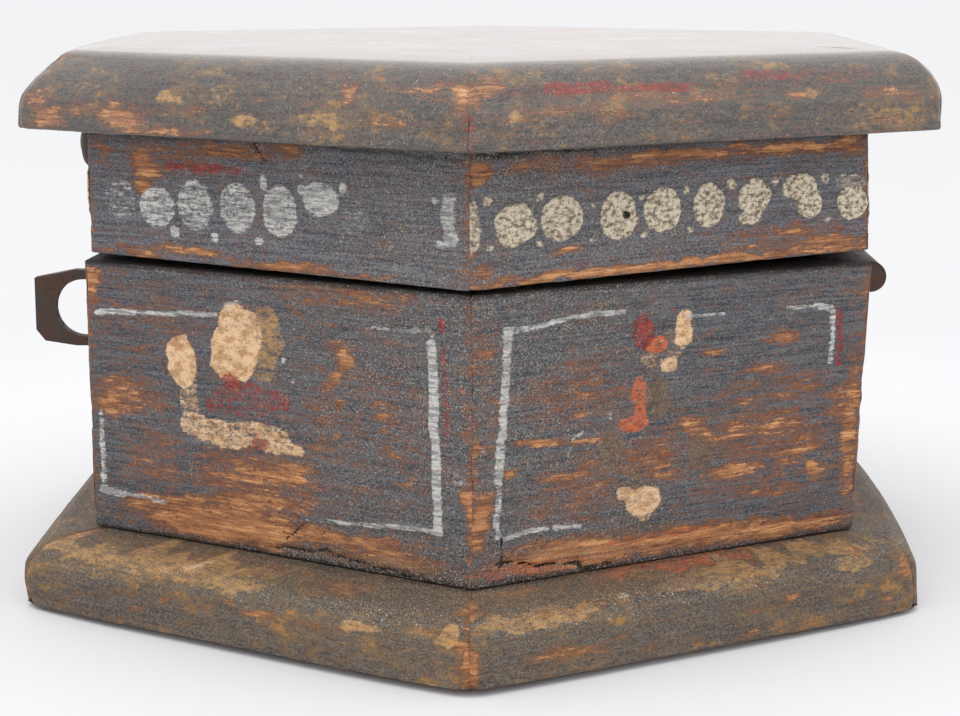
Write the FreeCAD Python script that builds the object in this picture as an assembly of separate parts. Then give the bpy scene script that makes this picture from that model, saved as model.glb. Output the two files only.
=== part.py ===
import FreeCAD, Part
import math
import os

# A small six-sided wooden box with a moulded foot, a moulded overhanging lid on one hinge, and an iron
# hook that drops into an eye. Millimetres, +Z up. The origin is the centre of the underside. A corner
# points to the front (-Y), the eye and hook are on the -X face, and the hinge is on the +X face.

# Driving dimensions
SIDES = 6
SIDE = 50.0  # one side of the box, which is also its corner radius
WALL = 5.5  # thickness of the wall boards
BOX_TOP = 39.4  # top edge of the lower walls

FOOT_HEIGHT = 8.5  # top of the foot moulding where the wall stands on it
FOOT_OUT = 7.7  # how far the foot stands out from the wall
FOOT_NOSE = 4.8  # height of the foot's upright nose
FOOT_ROUND = 3.2  # radius of the rounding above the nose
FLOOR_THICK = 6.0

LID_UNDER = 54.35  # underside of the lid's moulding
LID_TOP = 63.1
LID_OUT = 7.5  # how far the lid stands out from the wall
LID_NOSE = 4.0  # height of the lid's upright nose
LID_ROUND_OUT = 5.5  # the rounding above the nose, across
LID_PANEL_THICK = 6.0
ARRIS = 0.5  # small bevel along the lower edge of both mouldings

LID_GAP = 0.35  # between the lid and the lower walls at the front and back corners
LID_RISE_HINGE = 0.95  # how much more the gap is at the hinge face
LID_RISE_LATCH = 0.4  # and at the latch face

HINGE_X, HINGE_Z = 45.9, 36.2  # the hinge's axis, along Y
HINGE_LONG = 30.0
KNUCKLE_R = 1.8
LEAF = 0.8  # thickness of the hinge's leaves
PIN_R = 1.0
PIN_CLEAR = 0.05
PIN_HEAD_R, PIN_HEAD = 1.5, 0.7
KNUCKLE_GAP = 0.3  # between knuckles, along the axis
KNUCKLE_MIDDLE = 9.7  # length of the middle knuckle, which is the lid's
LEAF_CLEAR = 0.3  # between the lid's leaf and the face of the lower wall
LEAF_LOW, LEAF_HIGH = 25.8, 51.0  # lower end of the box leaf, upper end of the lid leaf
LEAF_JOG = 41.9  # where the lid leaf steps out from the wall's face

HINGE_NAIL_R, HINGE_NAIL_LONG = 0.7, 4.6
HINGE_NAIL_HEAD_R, HINGE_NAIL_HEAD = 1.5, 0.5
HINGE_NAIL_STEP = 10.0
BOX_NAILS_Z, LID_NAILS_Z = 29.5, 46.6

EYE_THICK = 1.6
EYE_REACH = 12.1  # from the wall's face to the eye's outer edge
EYE_BAND = 2.5  # width of its outer band
EYE_LOW, EYE_HIGH = 25.1, 34.6
EYE_HOLE_R = 3.6
EYE_CLENCH, EYE_LEG = 4.0, 1.1  # the legs' bent ends inside, and their thickness
EYE_CORNER_LOW, EYE_CORNER_HIGH, EYE_TAPER = 2.0, 1.0, 0.6  # how its outer corners are cut

PIVOT_Z = 50.5  # the hook's pivot, on the lid's -X wall
HOOK_OFF = 4.3  # from the wall's face to the middle of the hook's wire
WIRE_R = 1.1
PIVOT_R, PIVOT_CLEAR = 0.9, 0.05
PIVOT_SHORT = 0.5  # how far the pivot nail stops short of the lid wall's inner face
PIVOT_HEAD_R, PIVOT_HEAD = 1.8, 0.4
HOOK_REST_DEG = 18.0  # how far the hook is swung back from the eye
HOOK_STEP = 2.8  # the shank stands this far to the side of the pivot
HOOK_DROP = 19.0  # from the pivot to the middle of the hook's tip
HOOK_TIP = -1.6  # where the tip ends, across
HOOK_BEND = 2.5

FOOT_NAIL_R, FOOT_NAIL_HEAD_R, FOOT_NAIL_HEAD = 0.9, 2.0, 1.0
FOOT_NAIL_LOW, FOOT_NAIL_HIGH = 0.4, 18.0
FOOT_NAIL_SIDE = 15.0  # from the middle of a face to each of its two nails
FOOT_NAIL_HOLE_LOW = -1.0  # the nails' sunk holes start below the underside

CUT_OVER = 1.0  # how far a cut reaches past the face it opens

# Worked out from the above
FLAT = SIDE * math.cos(math.pi / SIDES)  # centre to the outside of a wall
INSIDE = FLAT - WALL
TURN = 360.0 / SIDES
FACE_NAMES = ("front_right", "right", "back_right", "back_left", "left", "front_left")
RIGHT, LEFT = 1, 4
Y_AXIS = FreeCAD.Vector(0, 1, 0)
Z_AXIS = FreeCAD.Vector(0, 0, 1)
X_AXIS = FreeCAD.Vector(1, 0, 0)
CENTRE = FreeCAD.Vector(0, 0, 0)


def at(x, z, y=0.0):
    """A point, given as (x, z) in an upright section and y along it."""
    return FreeCAD.Vector(x, y, z)


def face_angle(k):
    """The direction that face k looks, in degrees from +X. Face 0 is the front right one."""
    return (k - RIGHT) * TURN


def extruded(edges, y_low, y_high):
    """The solid of a closed section in the XZ plane, from y_low to y_high."""
    section = Part.Face(Part.Wire(edges))
    section.translate(FreeCAD.Vector(0, y_low, 0))
    return section.extrude(FreeCAD.Vector(0, y_high - y_low, 0))


def lines(points, closed=True):
    """Straight edges through (x, z) points."""
    ends = [at(*p) for p in points]
    if closed:
        ends.append(ends[0])
    return [Part.LineSegment(a, b).toShape() for a, b in zip(ends, ends[1:])]


def mitred(edges, k):
    """A strip of that section on face k, cut at the mitres with its neighbours."""
    reach = 2 * SIDE
    half = reach * math.tan(math.radians(TURN / 2))
    corners = [CENTRE, FreeCAD.Vector(reach, half, 0), FreeCAD.Vector(reach, -half, 0), CENTRE]
    wedge = Part.Face(Part.makePolygon(corners)).extrude(FreeCAD.Vector(0, 0, reach))
    strip = extruded(edges, -SIDE, SIDE).common(wedge)
    strip.rotate(CENTRE, Z_AXIS, face_angle(k))
    return strip


def board(low, high, k):
    """A wall board of face k."""
    return mitred(lines([(INSIDE, low), (FLAT, low), (FLAT, high), (INSIDE, high)]), k)


def hexagon(radius, low, high):
    """A six-sided panel whose corner radius is radius."""
    corners = []
    for k in range(SIDES + 1):
        a = math.radians(k * TURN - 90)
        corners.append(FreeCAD.Vector(radius * math.cos(a), radius * math.sin(a), low))
    return Part.Face(Part.makePolygon(corners)).extrude(FreeCAD.Vector(0, 0, high - low))


def rod(radius, start, end):
    """A round bar between two points."""
    along = end.sub(start)
    return Part.makeCylinder(radius, along.Length, start, along)


def save(shape, name):
    if not shape.isValid() or not shape.Solids:
        raise ValueError(name + " is not a valid solid")
    shape.exportStep("parts/" + name + ".step")


# Sections of the two mouldings


def foot_section():
    out, shoulder = FLAT + FOOT_OUT, FLAT + FOOT_OUT - FOOT_ROUND
    slant = FOOT_ROUND * math.sqrt(0.5)
    top = FOOT_NOSE + FOOT_ROUND
    straight = [(shoulder, top), (FLAT, FOOT_HEIGHT), (INSIDE, FOOT_HEIGHT), (INSIDE, 0)]
    straight += [(out - ARRIS, 0), (out, ARRIS), (out, FOOT_NOSE)]
    middle = at(shoulder + slant, FOOT_NOSE + slant)
    rounding = Part.Arc(at(out, FOOT_NOSE), middle, at(shoulder, top)).toShape()
    return lines(straight, closed=False) + [rounding]


def lid_section():
    out, nose = FLAT + LID_OUT, LID_UNDER + LID_NOSE
    shoulder = out - LID_ROUND_OUT
    straight = [(shoulder, LID_TOP), (INSIDE, LID_TOP), (INSIDE, LID_UNDER)]
    straight += [(out - ARRIS, LID_UNDER), (out, LID_UNDER + ARRIS), (out, nose)]
    ellipse = Part.Ellipse(at(out, nose), at(shoulder, LID_TOP), at(shoulder, nose))
    rounding = Part.ArcOfEllipse(ellipse, 0, math.pi / 2).toShape()
    return lines(straight, closed=False) + [rounding]


# Nails


def nail(point, inward, shank_r, shank_long, head_r, head_thick):
    """A nail whose head lies on point, driven along inward. The head is a low dome."""
    ball_r = (head_r ** 2 + head_thick ** 2) / (2 * head_thick)
    middle = point + inward * (ball_r - head_thick)
    dome = Part.makeSphere(ball_r, middle)
    outside = rod(head_r, point, point - inward * (2 * head_thick))
    return rod(shank_r, point, point + inward * shank_long).fuse(dome.common(outside))


def hinge_nails(z):
    inward = FreeCAD.Vector(-1, 0, 0)
    found = []
    for n in (-1, 0, 1):
        point = at(FLAT + LEAF, z, n * HINGE_NAIL_STEP)
        sizes = (HINGE_NAIL_R, HINGE_NAIL_LONG, HINGE_NAIL_HEAD_R, HINGE_NAIL_HEAD)
        found.append(nail(point, inward, *sizes))
    return Part.makeCompound(found)


def foot_nails(head_low):
    """Two nails under each wall. A lower head_low also gives the sunk hole below each head."""
    found = []
    for k in range(SIDES):
        for side in (-FOOT_NAIL_SIDE, FOOT_NAIL_SIDE):
            middle = (FLAT + INSIDE) / 2
            head_high = FOOT_NAIL_LOW + FOOT_NAIL_HEAD
            head = rod(FOOT_NAIL_HEAD_R, at(middle, head_low, side), at(middle, head_high, side))
            shank = rod(FOOT_NAIL_R, at(middle, head_high, side), at(middle, FOOT_NAIL_HIGH, side))
            one = head.fuse(shank)
            one.rotate(CENTRE, Z_AXIS, face_angle(k))
            found.append(one)
    return Part.makeCompound(found)


# Hinge


def knuckle(y_low, y_high):
    start, end = at(HINGE_X, HINGE_Z, y_low), at(HINGE_X, HINGE_Z, y_high)
    return rod(KNUCKLE_R, start, end), rod(PIN_R + PIN_CLEAR, start, end)


def hinge_leaf_box():
    """The lower leaf, with a knuckle at each end of the hinge."""
    half, middle = HINGE_LONG / 2, KNUCKLE_MIDDLE / 2
    corners = [(FLAT, LEAF_LOW), (FLAT + LEAF, LEAF_LOW), (FLAT + LEAF, HINGE_Z), (FLAT, HINGE_Z)]
    leaf = extruded(lines(corners), -half, half)
    clear_r = KNUCKLE_R + LEAF_CLEAR
    low, high = -middle - KNUCKLE_GAP, middle + KNUCKLE_GAP
    notch = extruded(lines([(FLAT - CUT_OVER, HINGE_Z - clear_r), (HINGE_X + clear_r, HINGE_Z - clear_r),
                            (HINGE_X + clear_r, HINGE_Z + clear_r), (FLAT - CUT_OVER, HINGE_Z + clear_r)]),
                     low, high)
    leaf = leaf.cut(notch)
    for ends in ((-half, low), (high, half)):
        barrel, hole = knuckle(*ends)
        leaf = leaf.fuse(barrel).cut(hole)
    return leaf.removeSplitter()


def hinge_leaf_lid():
    """The upper leaf, which steps out past the lower wall to the middle knuckle."""
    half, middle = HINGE_LONG / 2, KNUCKLE_MIDDLE / 2
    out = FLAT + LEAF_CLEAR
    plate = [(FLAT, LEAF_JOG), (FLAT + LEAF, LEAF_JOG), (FLAT + LEAF, LEAF_HIGH), (FLAT, LEAF_HIGH)]
    strap = [(out, HINGE_Z), (out + LEAF, HINGE_Z), (out + LEAF, LEAF_JOG - LEAF)]
    strap += [(FLAT + LEAF, LEAF_JOG + LEAF), (FLAT, LEAF_JOG + LEAF), (FLAT, LEAF_JOG)]
    strap += [(out, LEAF_JOG - LEAF)]
    barrel, hole = knuckle(-middle, middle)
    leaf = extruded(lines(plate), -half, half).fuse(extruded(lines(strap), -middle, middle))
    return leaf.fuse(barrel).cut(hole).removeSplitter()


def hinge_pin():
    half = HINGE_LONG / 2
    pin = rod(PIN_R, at(HINGE_X, HINGE_Z, -half), at(HINGE_X, HINGE_Z, half))
    for side in (-1, 1):
        start = at(HINGE_X, HINGE_Z, side * half)
        pin = pin.fuse(rod(PIN_HEAD_R, start, start + Y_AXIS * (side * PIN_HEAD)))
    return pin.removeSplitter()


# Eye and hook


def latch_eye():
    """A flat iron eye on two legs that go through the wall and are bent over inside."""
    face, outer = -FLAT, -FLAT - EYE_REACH
    inner, bent = -INSIDE, -INSIDE + EYE_LEG
    shoulder = outer + 2 * EYE_BAND
    outline = [(bent, EYE_LOW - EYE_CLENCH), (inner, EYE_LOW - EYE_CLENCH), (inner, EYE_LOW)]
    outline += [(face, EYE_LOW), (shoulder, EYE_LOW), (outer + EYE_LEG, EYE_LOW + EYE_TAPER)]
    outline += [(outer, EYE_LOW + EYE_CORNER_LOW), (outer, EYE_HIGH - EYE_CORNER_HIGH)]
    outline += [(shoulder, EYE_HIGH), (face, EYE_HIGH)]
    outline += [(inner, EYE_HIGH), (inner, EYE_HIGH + EYE_CLENCH), (bent, EYE_HIGH + EYE_CLENCH)]
    outline += [(bent, EYE_HIGH - EYE_LEG), (face, EYE_HIGH - EYE_LEG)]
    outline += [(face, EYE_LOW + EYE_LEG), (bent, EYE_LOW + EYE_LEG)]
    plate = extruded(lines(outline), -EYE_THICK / 2, EYE_THICK / 2)
    middle_z = (EYE_LOW + EYE_HIGH) / 2
    middle_x = outer + EYE_BAND + EYE_HOLE_R
    start = at(middle_x, middle_z, -EYE_THICK)
    hole = Part.makeCylinder(EYE_HOLE_R, 2 * EYE_THICK, start, Y_AXIS)
    slot = [(middle_x, middle_z - EYE_HOLE_R), (face, middle_z - EYE_HOLE_R)]
    slot += [(face, middle_z + EYE_HOLE_R), (middle_x, middle_z + EYE_HOLE_R)]
    return plate.cut(hole).cut(extruded(lines(slot), -EYE_THICK, EYE_THICK)).removeSplitter()


def bent_wire(points, bends, radius):
    """A round wire along straight runs in the YZ plane, with an arc of its own radius at each bend."""
    edges, last = [], points[0]
    for i, bend in enumerate(bends, start=1):
        back, on = points[i - 1].sub(points[i]), points[i + 1].sub(points[i])
        back.normalize()
        on.normalize()
        half_turn = (math.pi - back.getAngle(on)) / 2
        cut = bend * math.tan(half_turn)
        first, second = points[i] + back * cut, points[i] + on * cut
        inward = back + on
        inward.normalize()
        middle = points[i] + inward * (bend / math.cos(half_turn) - bend)
        edges.append(Part.LineSegment(last, first).toShape())
        edges.append(Part.Arc(first, middle, second).toShape())
        last = second
    edges.append(Part.LineSegment(last, points[-1]).toShape())
    spine = Part.Wire(edges)
    start = points[0]
    section = Part.Wire([Part.makeCircle(radius, start, points[1].sub(start))])
    return spine.makePipeShell([section], True, False)


def latch_hook():
    """A wire ring round the pivot, a shank, and a tip that lies in the eye when the hook is down."""
    ring_r = PIVOT_R + PIVOT_CLEAR + WIRE_R
    x = -FLAT - HOOK_OFF
    pivot = at(x, PIVOT_Z)
    ring = Part.makeTorus(ring_r, WIRE_R, pivot, X_AXIS)
    slant = ring_r * math.sqrt(0.5)
    shape = [(slant, -slant), (HOOK_STEP, -2 * ring_r), (HOOK_STEP, -HOOK_DROP), (HOOK_TIP, -HOOK_DROP)]
    route = [FreeCAD.Vector(x, y, PIVOT_Z + z) for y, z in shape]
    shank = bent_wire(route, [HOOK_BEND, HOOK_BEND], WIRE_R)
    hook = ring.fuse(shank).fuse(Part.makeSphere(WIRE_R, route[-1]))
    bore = rod(PIVOT_R + PIVOT_CLEAR, pivot - X_AXIS * SIDE, pivot + X_AXIS * SIDE)
    hook = hook.cut(bore)
    hook.rotate(pivot, X_AXIS, HOOK_REST_DEG)
    return hook.removeSplitter()


def pivot_nail():
    face, outer = -FLAT, -FLAT - HOOK_OFF - WIRE_R
    head_inner = outer - PIN_CLEAR
    shank = rod(PIVOT_R, at(-INSIDE - PIVOT_SHORT, PIVOT_Z), at(head_inner, PIVOT_Z))
    head = nail(at(head_inner, PIVOT_Z), X_AXIS, PIVOT_R, PIVOT_HEAD, PIVOT_HEAD_R, PIVOT_HEAD)
    return shank.fuse(head).removeSplitter()


def lid_gap():
    """The space under the lid. It is least at the front and back corners."""
    reach = 2 * FLAT
    low = BOX_TOP + LID_GAP
    corners = [(-reach, BOX_TOP - CUT_OVER), (reach, BOX_TOP - CUT_OVER), (reach, low + 2 * LID_RISE_HINGE)]
    corners += [(0, low), (-reach, low + 2 * LID_RISE_LATCH)]
    return extruded(lines(corners), -reach, reach)


def main():
    os.makedirs("parts", exist_ok=True)
    box_nails, lid_nails = hinge_nails(BOX_NAILS_Z), hinge_nails(LID_NAILS_Z)
    eye, pivot = latch_eye(), pivot_nail()
    gap = lid_gap()
    foot_holes = foot_nails(FOOT_NAIL_HOLE_LOW)
    cuts = {RIGHT: (box_nails, lid_nails), LEFT: (eye, pivot)}

    for k, name in enumerate(FACE_NAMES):
        save(mitred(foot_section(), k).cut(foot_holes), "foot_moulding_" + name)
        lower, upper = board(FOOT_HEIGHT, BOX_TOP, k).cut(foot_holes), board(BOX_TOP, LID_UNDER, k).cut(gap)
        if k in cuts:
            lower, upper = lower.cut(cuts[k][0]), upper.cut(cuts[k][1])
        save(lower, "box_wall_" + name)
        save(upper, "lid_wall_" + name)
        save(mitred(lid_section(), k), "lid_moulding_" + name)

    inner_r = INSIDE / math.cos(math.pi / SIDES)
    save(hexagon(inner_r, 0, FLOOR_THICK), "floor_panel")
    save(hexagon(inner_r, LID_TOP - LID_PANEL_THICK, LID_TOP), "lid_panel")
    save(hinge_leaf_box().cut(box_nails), "hinge_leaf_box")
    save(hinge_leaf_lid().cut(lid_nails), "hinge_leaf_lid")
    save(hinge_pin(), "hinge_pin")
    save(box_nails, "hinge_nails_box")
    save(lid_nails, "hinge_nails_lid")
    save(eye, "latch_eye")
    save(latch_hook(), "latch_hook")
    save(pivot, "hook_pivot_nail")
    save(foot_nails(FOOT_NAIL_LOW), "foot_nails")


main()
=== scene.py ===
"""The looks of a small six-sided painted wooden box with a hinged lid and an iron hook and eye.

Lengths in this script are millimetres, in the frame's axes, and become metres when a mesh is made. Only
the studio's places and sizes are given in metres.
On a side of the box, a place is given as (s, z): s runs from the middle of the side to the right, seen
from outside, and z is the height above the table.
"""

import math

import bpy
import numpy as np
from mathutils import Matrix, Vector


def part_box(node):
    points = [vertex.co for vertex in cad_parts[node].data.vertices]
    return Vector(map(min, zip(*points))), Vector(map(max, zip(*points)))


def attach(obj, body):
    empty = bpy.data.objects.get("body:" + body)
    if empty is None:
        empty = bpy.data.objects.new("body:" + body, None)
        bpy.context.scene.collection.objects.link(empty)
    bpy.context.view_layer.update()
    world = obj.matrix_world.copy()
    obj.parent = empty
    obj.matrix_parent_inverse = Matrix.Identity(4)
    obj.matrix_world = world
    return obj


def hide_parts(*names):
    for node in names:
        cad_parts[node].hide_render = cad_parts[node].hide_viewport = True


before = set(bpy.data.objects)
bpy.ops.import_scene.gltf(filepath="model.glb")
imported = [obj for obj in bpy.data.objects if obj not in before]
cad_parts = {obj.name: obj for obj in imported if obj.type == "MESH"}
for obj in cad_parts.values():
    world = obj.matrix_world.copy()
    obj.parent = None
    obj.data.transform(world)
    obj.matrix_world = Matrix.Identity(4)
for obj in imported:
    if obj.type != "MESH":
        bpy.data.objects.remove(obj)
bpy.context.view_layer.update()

MM = 1000.0  # millimetres in a metre


def cad(node):
    """Lowest and highest corner of a CAD node, in millimetres."""
    low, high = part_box(node)
    return np.array(low) * MM, np.array(high) * MM


# Sizes read from the frame
SIDES = ("front_right", "right", "back_right", "back_left", "left", "front_left")
TURN = math.radians(60)
SLOPE = math.tan(TURN / 2)
INSIDE, FLAT = cad("box_wall_right")[0][0], cad("box_wall_right")[1][0]
WALL_LOW, WALL_TOP = cad("box_wall_right")[0][2], cad("box_wall_right")[1][2]
FOOT_OUT = cad("foot_moulding_right")[1][0]
LID_OUT = cad("lid_moulding_right")[1][0]
LID_UNDER, LID_TOP = cad("lid_moulding_right")[0][2], cad("lid_moulding_right")[1][2]
FLOOR_TOP = cad("floor_panel")[1][2]
PANEL_LOW = cad("lid_panel")[0][2]
LID_LOW = cad("lid_wall_front_left")[0][2]
RISE_RIGHT = (cad("lid_wall_right")[0][2] - LID_LOW) / INSIDE  # how the lid's lower edge climbs
RISE_LEFT = (cad("lid_wall_left")[0][2] - LID_LOW) / INSIDE

# Shape of the mouldings and how worn the arrises are
FOOT_NOSE, FOOT_ROUND, FOOT_BEVEL = 4.8, 3.2, 0.35
LID_NOSE, LID_ROUND, LID_FALL = 4.0, 5.5, 0.7
CORNER_R = 0.6  # rounding of the upright corners
FINE, MEDIUM, COARSE = 0.3, 0.5, 1.6  # steps of the meshes: in front, at the back and inside


# ---------------------------------------------------------------- noise in numpy


def hashed(cell, seed):
    """A repeatable value from 0 to 1 for each whole-number cell."""
    n = cell[:, 0] * 73856093 ^ cell[:, 1] * 19349663 ^ cell[:, 2] * 83492791 ^ (seed + 11) * 2654435
    n = (n ^ (n >> 13)) * 1274126177 & 0xFFFFFFFF
    n = (n ^ (n >> 16)) * 668265263 & 0xFFFFFFFF
    return ((n ^ (n >> 15)) & 0xFFFF) / 65535.0


def noise(points, size, seed, layers=2):
    """Smooth noise from 0 to 1. size is the size of its lumps, one number or one for each axis."""
    total, weight, share = 0.0, 0.0, 1.0
    for layer in range(layers):
        q = points / (np.array(size, float) / 2**layer)
        base = np.floor(q).astype(np.int64)
        f = q - base
        f = f * f * (3 - 2 * f)
        value = np.zeros(len(points))
        for corner in range(8):
            step = np.array([corner & 1, corner >> 1 & 1, corner >> 2 & 1])
            value += np.prod(np.where(step, f, 1 - f), axis=1) * hashed(base + step, seed + 31 * layer)
        total, weight, share = total + share * value, weight + share, share * 0.5
    return total / weight


def ramp(x, low, high):
    """0 below low, 1 above high, and smooth between them."""
    t = np.clip((x - low) / (high - low), 0, 1)
    return t * t * (3 - 2 * t)


# ---------------------------------------------------------------- painted marks
# Each mark is (channel, level function). A level is over 0 where the mark's paint is, and its hold is how
# well the paint has lasted: 1 is solid, 0.2 is broken, and below 0 only traces are left.

CHANNELS = ("worn", "cream", "white", "buff", "red", "orange", "brown", "ochre", "crack")
EDGE = 0.32  # over this distance a mark's level goes from 0 to 1
UNWORN = -0.75  # the level of wear where the paint is sound


def blob(channel, s, z, rs, rz, hold=0.8, tilt=0.0):
    """An oval dab of paint."""
    c, d = math.cos(math.radians(tilt)), math.sin(math.radians(tilt))

    def level(u, v):
        x, y = (u - s) * c + (v - z) * d, (v - z) * c - (u - s) * d
        return np.clip((1 - np.hypot(x / rs, y / rz)) * min(rs, rz) / EDGE, -2, hold)

    return channel, level


def stroke(channel, points, half, hold=0.8):
    """A brush stroke, half wide to each side, through some points."""

    def level(u, v):
        nearest = np.full(len(u), 1e9)
        for (s0, z0), (s1, z1) in zip(points, points[1:]):
            ds, dz = s1 - s0, z1 - z0
            t = np.clip(((u - s0) * ds + (v - z0) * dz) / (ds * ds + dz * dz), 0, 1)
            nearest = np.minimum(nearest, np.hypot(u - s0 - t * ds, v - z0 - t * dz))
        return np.clip((half - nearest) / EDGE * 1.3, -2, hold)

    return channel, level


def worn(s, z, rs, rz, peak, tilt=0.0):
    """A patch where the paint is worn off. peak is how far: 1 is bare wood, 0 is half gone."""
    c, d = math.cos(math.radians(tilt)), math.sin(math.radians(tilt))

    def level(u, v):
        x, y = ((u - s) * c + (v - z) * d) / rs, ((v - z) * c - (u - s) * d) / rz
        return UNWORN + (peak - UNWORN) * np.exp(-((x * x + y * y) ** 1.3) * 0.8)

    return "worn", level


def strokes(channel, *rows):
    """Strokes of one paint, each as (its points, half its width, hold)."""
    return [stroke(channel, *row) for row in rows]


def blobs(channel, *rows):
    """Dabs of one paint, each as (s, z, half its width, half its height, hold, tilt in degrees)."""
    return [blob(channel, *row) for row in rows]


def worn_patches(*rows):
    """Worn patches, each as (s, z, half its width, half its height, peak, tilt in degrees)."""
    return [worn(*row) for row in rows]


def front_left_wall():
    """The lower wall on the front left side, with a pale frame, a posy and bare wood along its foot."""
    found = strokes("white",
        ([(-23.6, 33.6), (-20, 33.9), (-18.5, 34)], 0.42, 0.8),
        ([(-19, 34), (-14, 34.1), (-11, 34.5)], 0.34, 0.6), ([(-11.5, 34.4), (-7.4, 34.6)], 0.35, 0.6),
        ([(12.5, 35), (16, 35), (20, 35.5)], 0.3, 0.15), ([(17.5, 34.9), (20, 35.4)], 0.25, 0.35),
        ([(20.4, 35), (20.5, 32.5), (21, 30)], 0.2, 0.8), ([(19.9, 34), (20.2, 30)], 0.4, -0.15),
        ([(20.2, 34), (20.4, 30), (20.4, 26), (20.7, 22), (20.8, 18), (20.9, 14.4)], 0.62, 0.9),
        ([(21, 29), (20.8, 24), (21.1, 20), (21.2, 14)], 0.25, 0.8),
        ([(21.3, 14.1), (17, 14.1), (12, 13.7)], 0.33, 0.6),
        ([(12, 13.7), (8, 13.4), (4, 13.2)], 0.28, 0.25), ([(-23.6, 13), (-20.8, 12.8)], 0.5, 0.8),
        ([(-20.8, 12.8), (-15, 12.6)], 0.35, 0.35), ([(-23.4, 22), (-23.4, 13.4)], 0.4, 0.4),
        ([(-6.2, 35.8), (-4.2, 36.3)], 0.3, 0.4), ([(3, 29), (2.4, 27.6), (1.4, 27)], 0.2, 0.0))
    found += blobs("white",
        (-23.4, 18.3, 0.5, 0.6, 0.8), (-23.4, 14.8, 0.5, 0.9, 0.7), (1.5, 30.5, 0.42, 0.4, 0.8),
        (23.4, 20.2, 0.9, 0.7, 0.2))
    found += strokes("red",
        ([(21.4, 36.4), (21.5, 35.7)], 0.45, 0.8),
        ([(21.6, 33.6), (21.9, 29), (22.1, 25), (22, 23.4)], 0.42, 0.3),
        ([(22, 22.5), (22, 13.5)], 0.35, -0.25), ([(-24, 35.1), (-19, 35)], 0.55, -0.15))
    found += blobs("buff",
        (-5.2, 30.6, 3.3, 3.4, 0.9), (-5.0, 34.3, 2.3, 1.9, 0.8), (-3.2, 33, 1.8, 2.6, 0.5),
        (-12.2, 29, 2.2, 2.9, 0.9))
    found += blobs("orange", (-3, 35.4, 2.4, 0.8, 0.1), (-5, 26.8, 0.9, 0.8, 0.3))
    found += blobs("ochre", (-0.8, 32.6, 2.4, 3.2, 0.35), (-1.4, 29.4, 1.7, 2.2, 0.2))
    found += strokes("buff",
        ([(-11.3, 26.6), (-11.2, 24), (-10.8, 22)], 1.0, 0.25),
        ([(-11, 22), (-6, 21.3), (-2.4, 22.0), (1, 21.3)], 1.5, 0.35),
        ([(-10.6, 20.6), (-5, 20.5)], 0.5, 0.15), ([(-1, 20.6), (3.4, 20.6)], 0.6, 0.5))
    found += blobs("red",
        (-4.0, 25.6, 4.4, 2.2, 0.2), (-5.6, 27.4, 1.6, 1.0, 0.5), (1, 25.8, 1.6, 1.2, 0.3),
        (-7.8, 24.6, 1.6, 0.8, 0.3), (-1.7, 20.9, 1.4, 0.7, 0.4))
    found += strokes("crack",
        ([(4, 12.9), (3, 12), (1.2, 10.6)], 0.16, 0.5), ([(7.5, 12.6), (5.6, 11.4)], 0.1, 0.3),
        ([(-3, 15.3), (4, 13.1), (10, 12.9)], 0.1, 0.2),
        ([(0, 9.4), (6, 9.9), (12, 9.3), (18, 8.7)], 0.2, 0.4))
    found += worn_patches(
        (-7, 11.2, 13, 2.3, 1.0), (-14, 11.2, 4, 1.0, 0.7), (6, 11.6, 4, 1.3, 0.9),
        (13.5, 11.6, 6, 1.1, 0.6), (-2, 14.4, 8, 1.5, 0.5, 8), (-2, 17.4, 9, 3.0, 0.25),
        (2.3, 17.8, 1.8, 1.5, 0.8), (-8, 16.5, 4, 2, -0.05), (-20, 24.3, 5.0, 2.6, 0.2),
        (-22, 23, 3.5, 1.0, 0.5), (-16, 17.5, 5, 3, -0.1), (8, 38, 9, 1.2, 0.05), (16, 38, 3, 1.0, 0.1),
        (-24.3, 37, 1.2, 2.2, 0.5), (9.6, 31.2, 1.2, 1.3, 0.7, 30), (8.2, 29.2, 0.7, 1.4, 0.6, -30),
        (7.1, 28.2, 1.0, 0.5, 0.8), (8.4, 33, 1.3, 0.5, 0.3), (8.6, 26.4, 0.6, 0.5, 0.6),
        (13.7, 25.4, 1.1, 0.4, 0.4), (14.5, 24.4, 0.7, 0.4, 0.4), (8.2, 22.9, 0.6, 0.4, 0.6),
        (17, 19, 1.0, 0.6, 0.1), (3.5, 35.6, 2.6, 0.25, 0.4, -28), (4.6, 32.6, 1.9, 0.2, 0.4, -45),
        (7.4, 35.1, 1.8, 0.25, 0.4, -5), (24.6, 26, 0.8, 4, -0.1), (24.4, 18.3, 0.8, 1.2, 1.0, 20),
        (24.9, 15, 0.9, 3.5, 0.6), (14, 10.6, 9, 1.5, 0.45), (11, 24, 11, 9, -0.36),
        (-16, 32, 9, 6, -0.38))
    found += blobs("brown", (17, 9.4, 9, 1.3, 0.3), (8, 9.6, 6, 0.9, 0.2))
    found += blobs("ochre", (-4, 13.0, 7, 0.9, -0.1))
    return found


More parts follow.
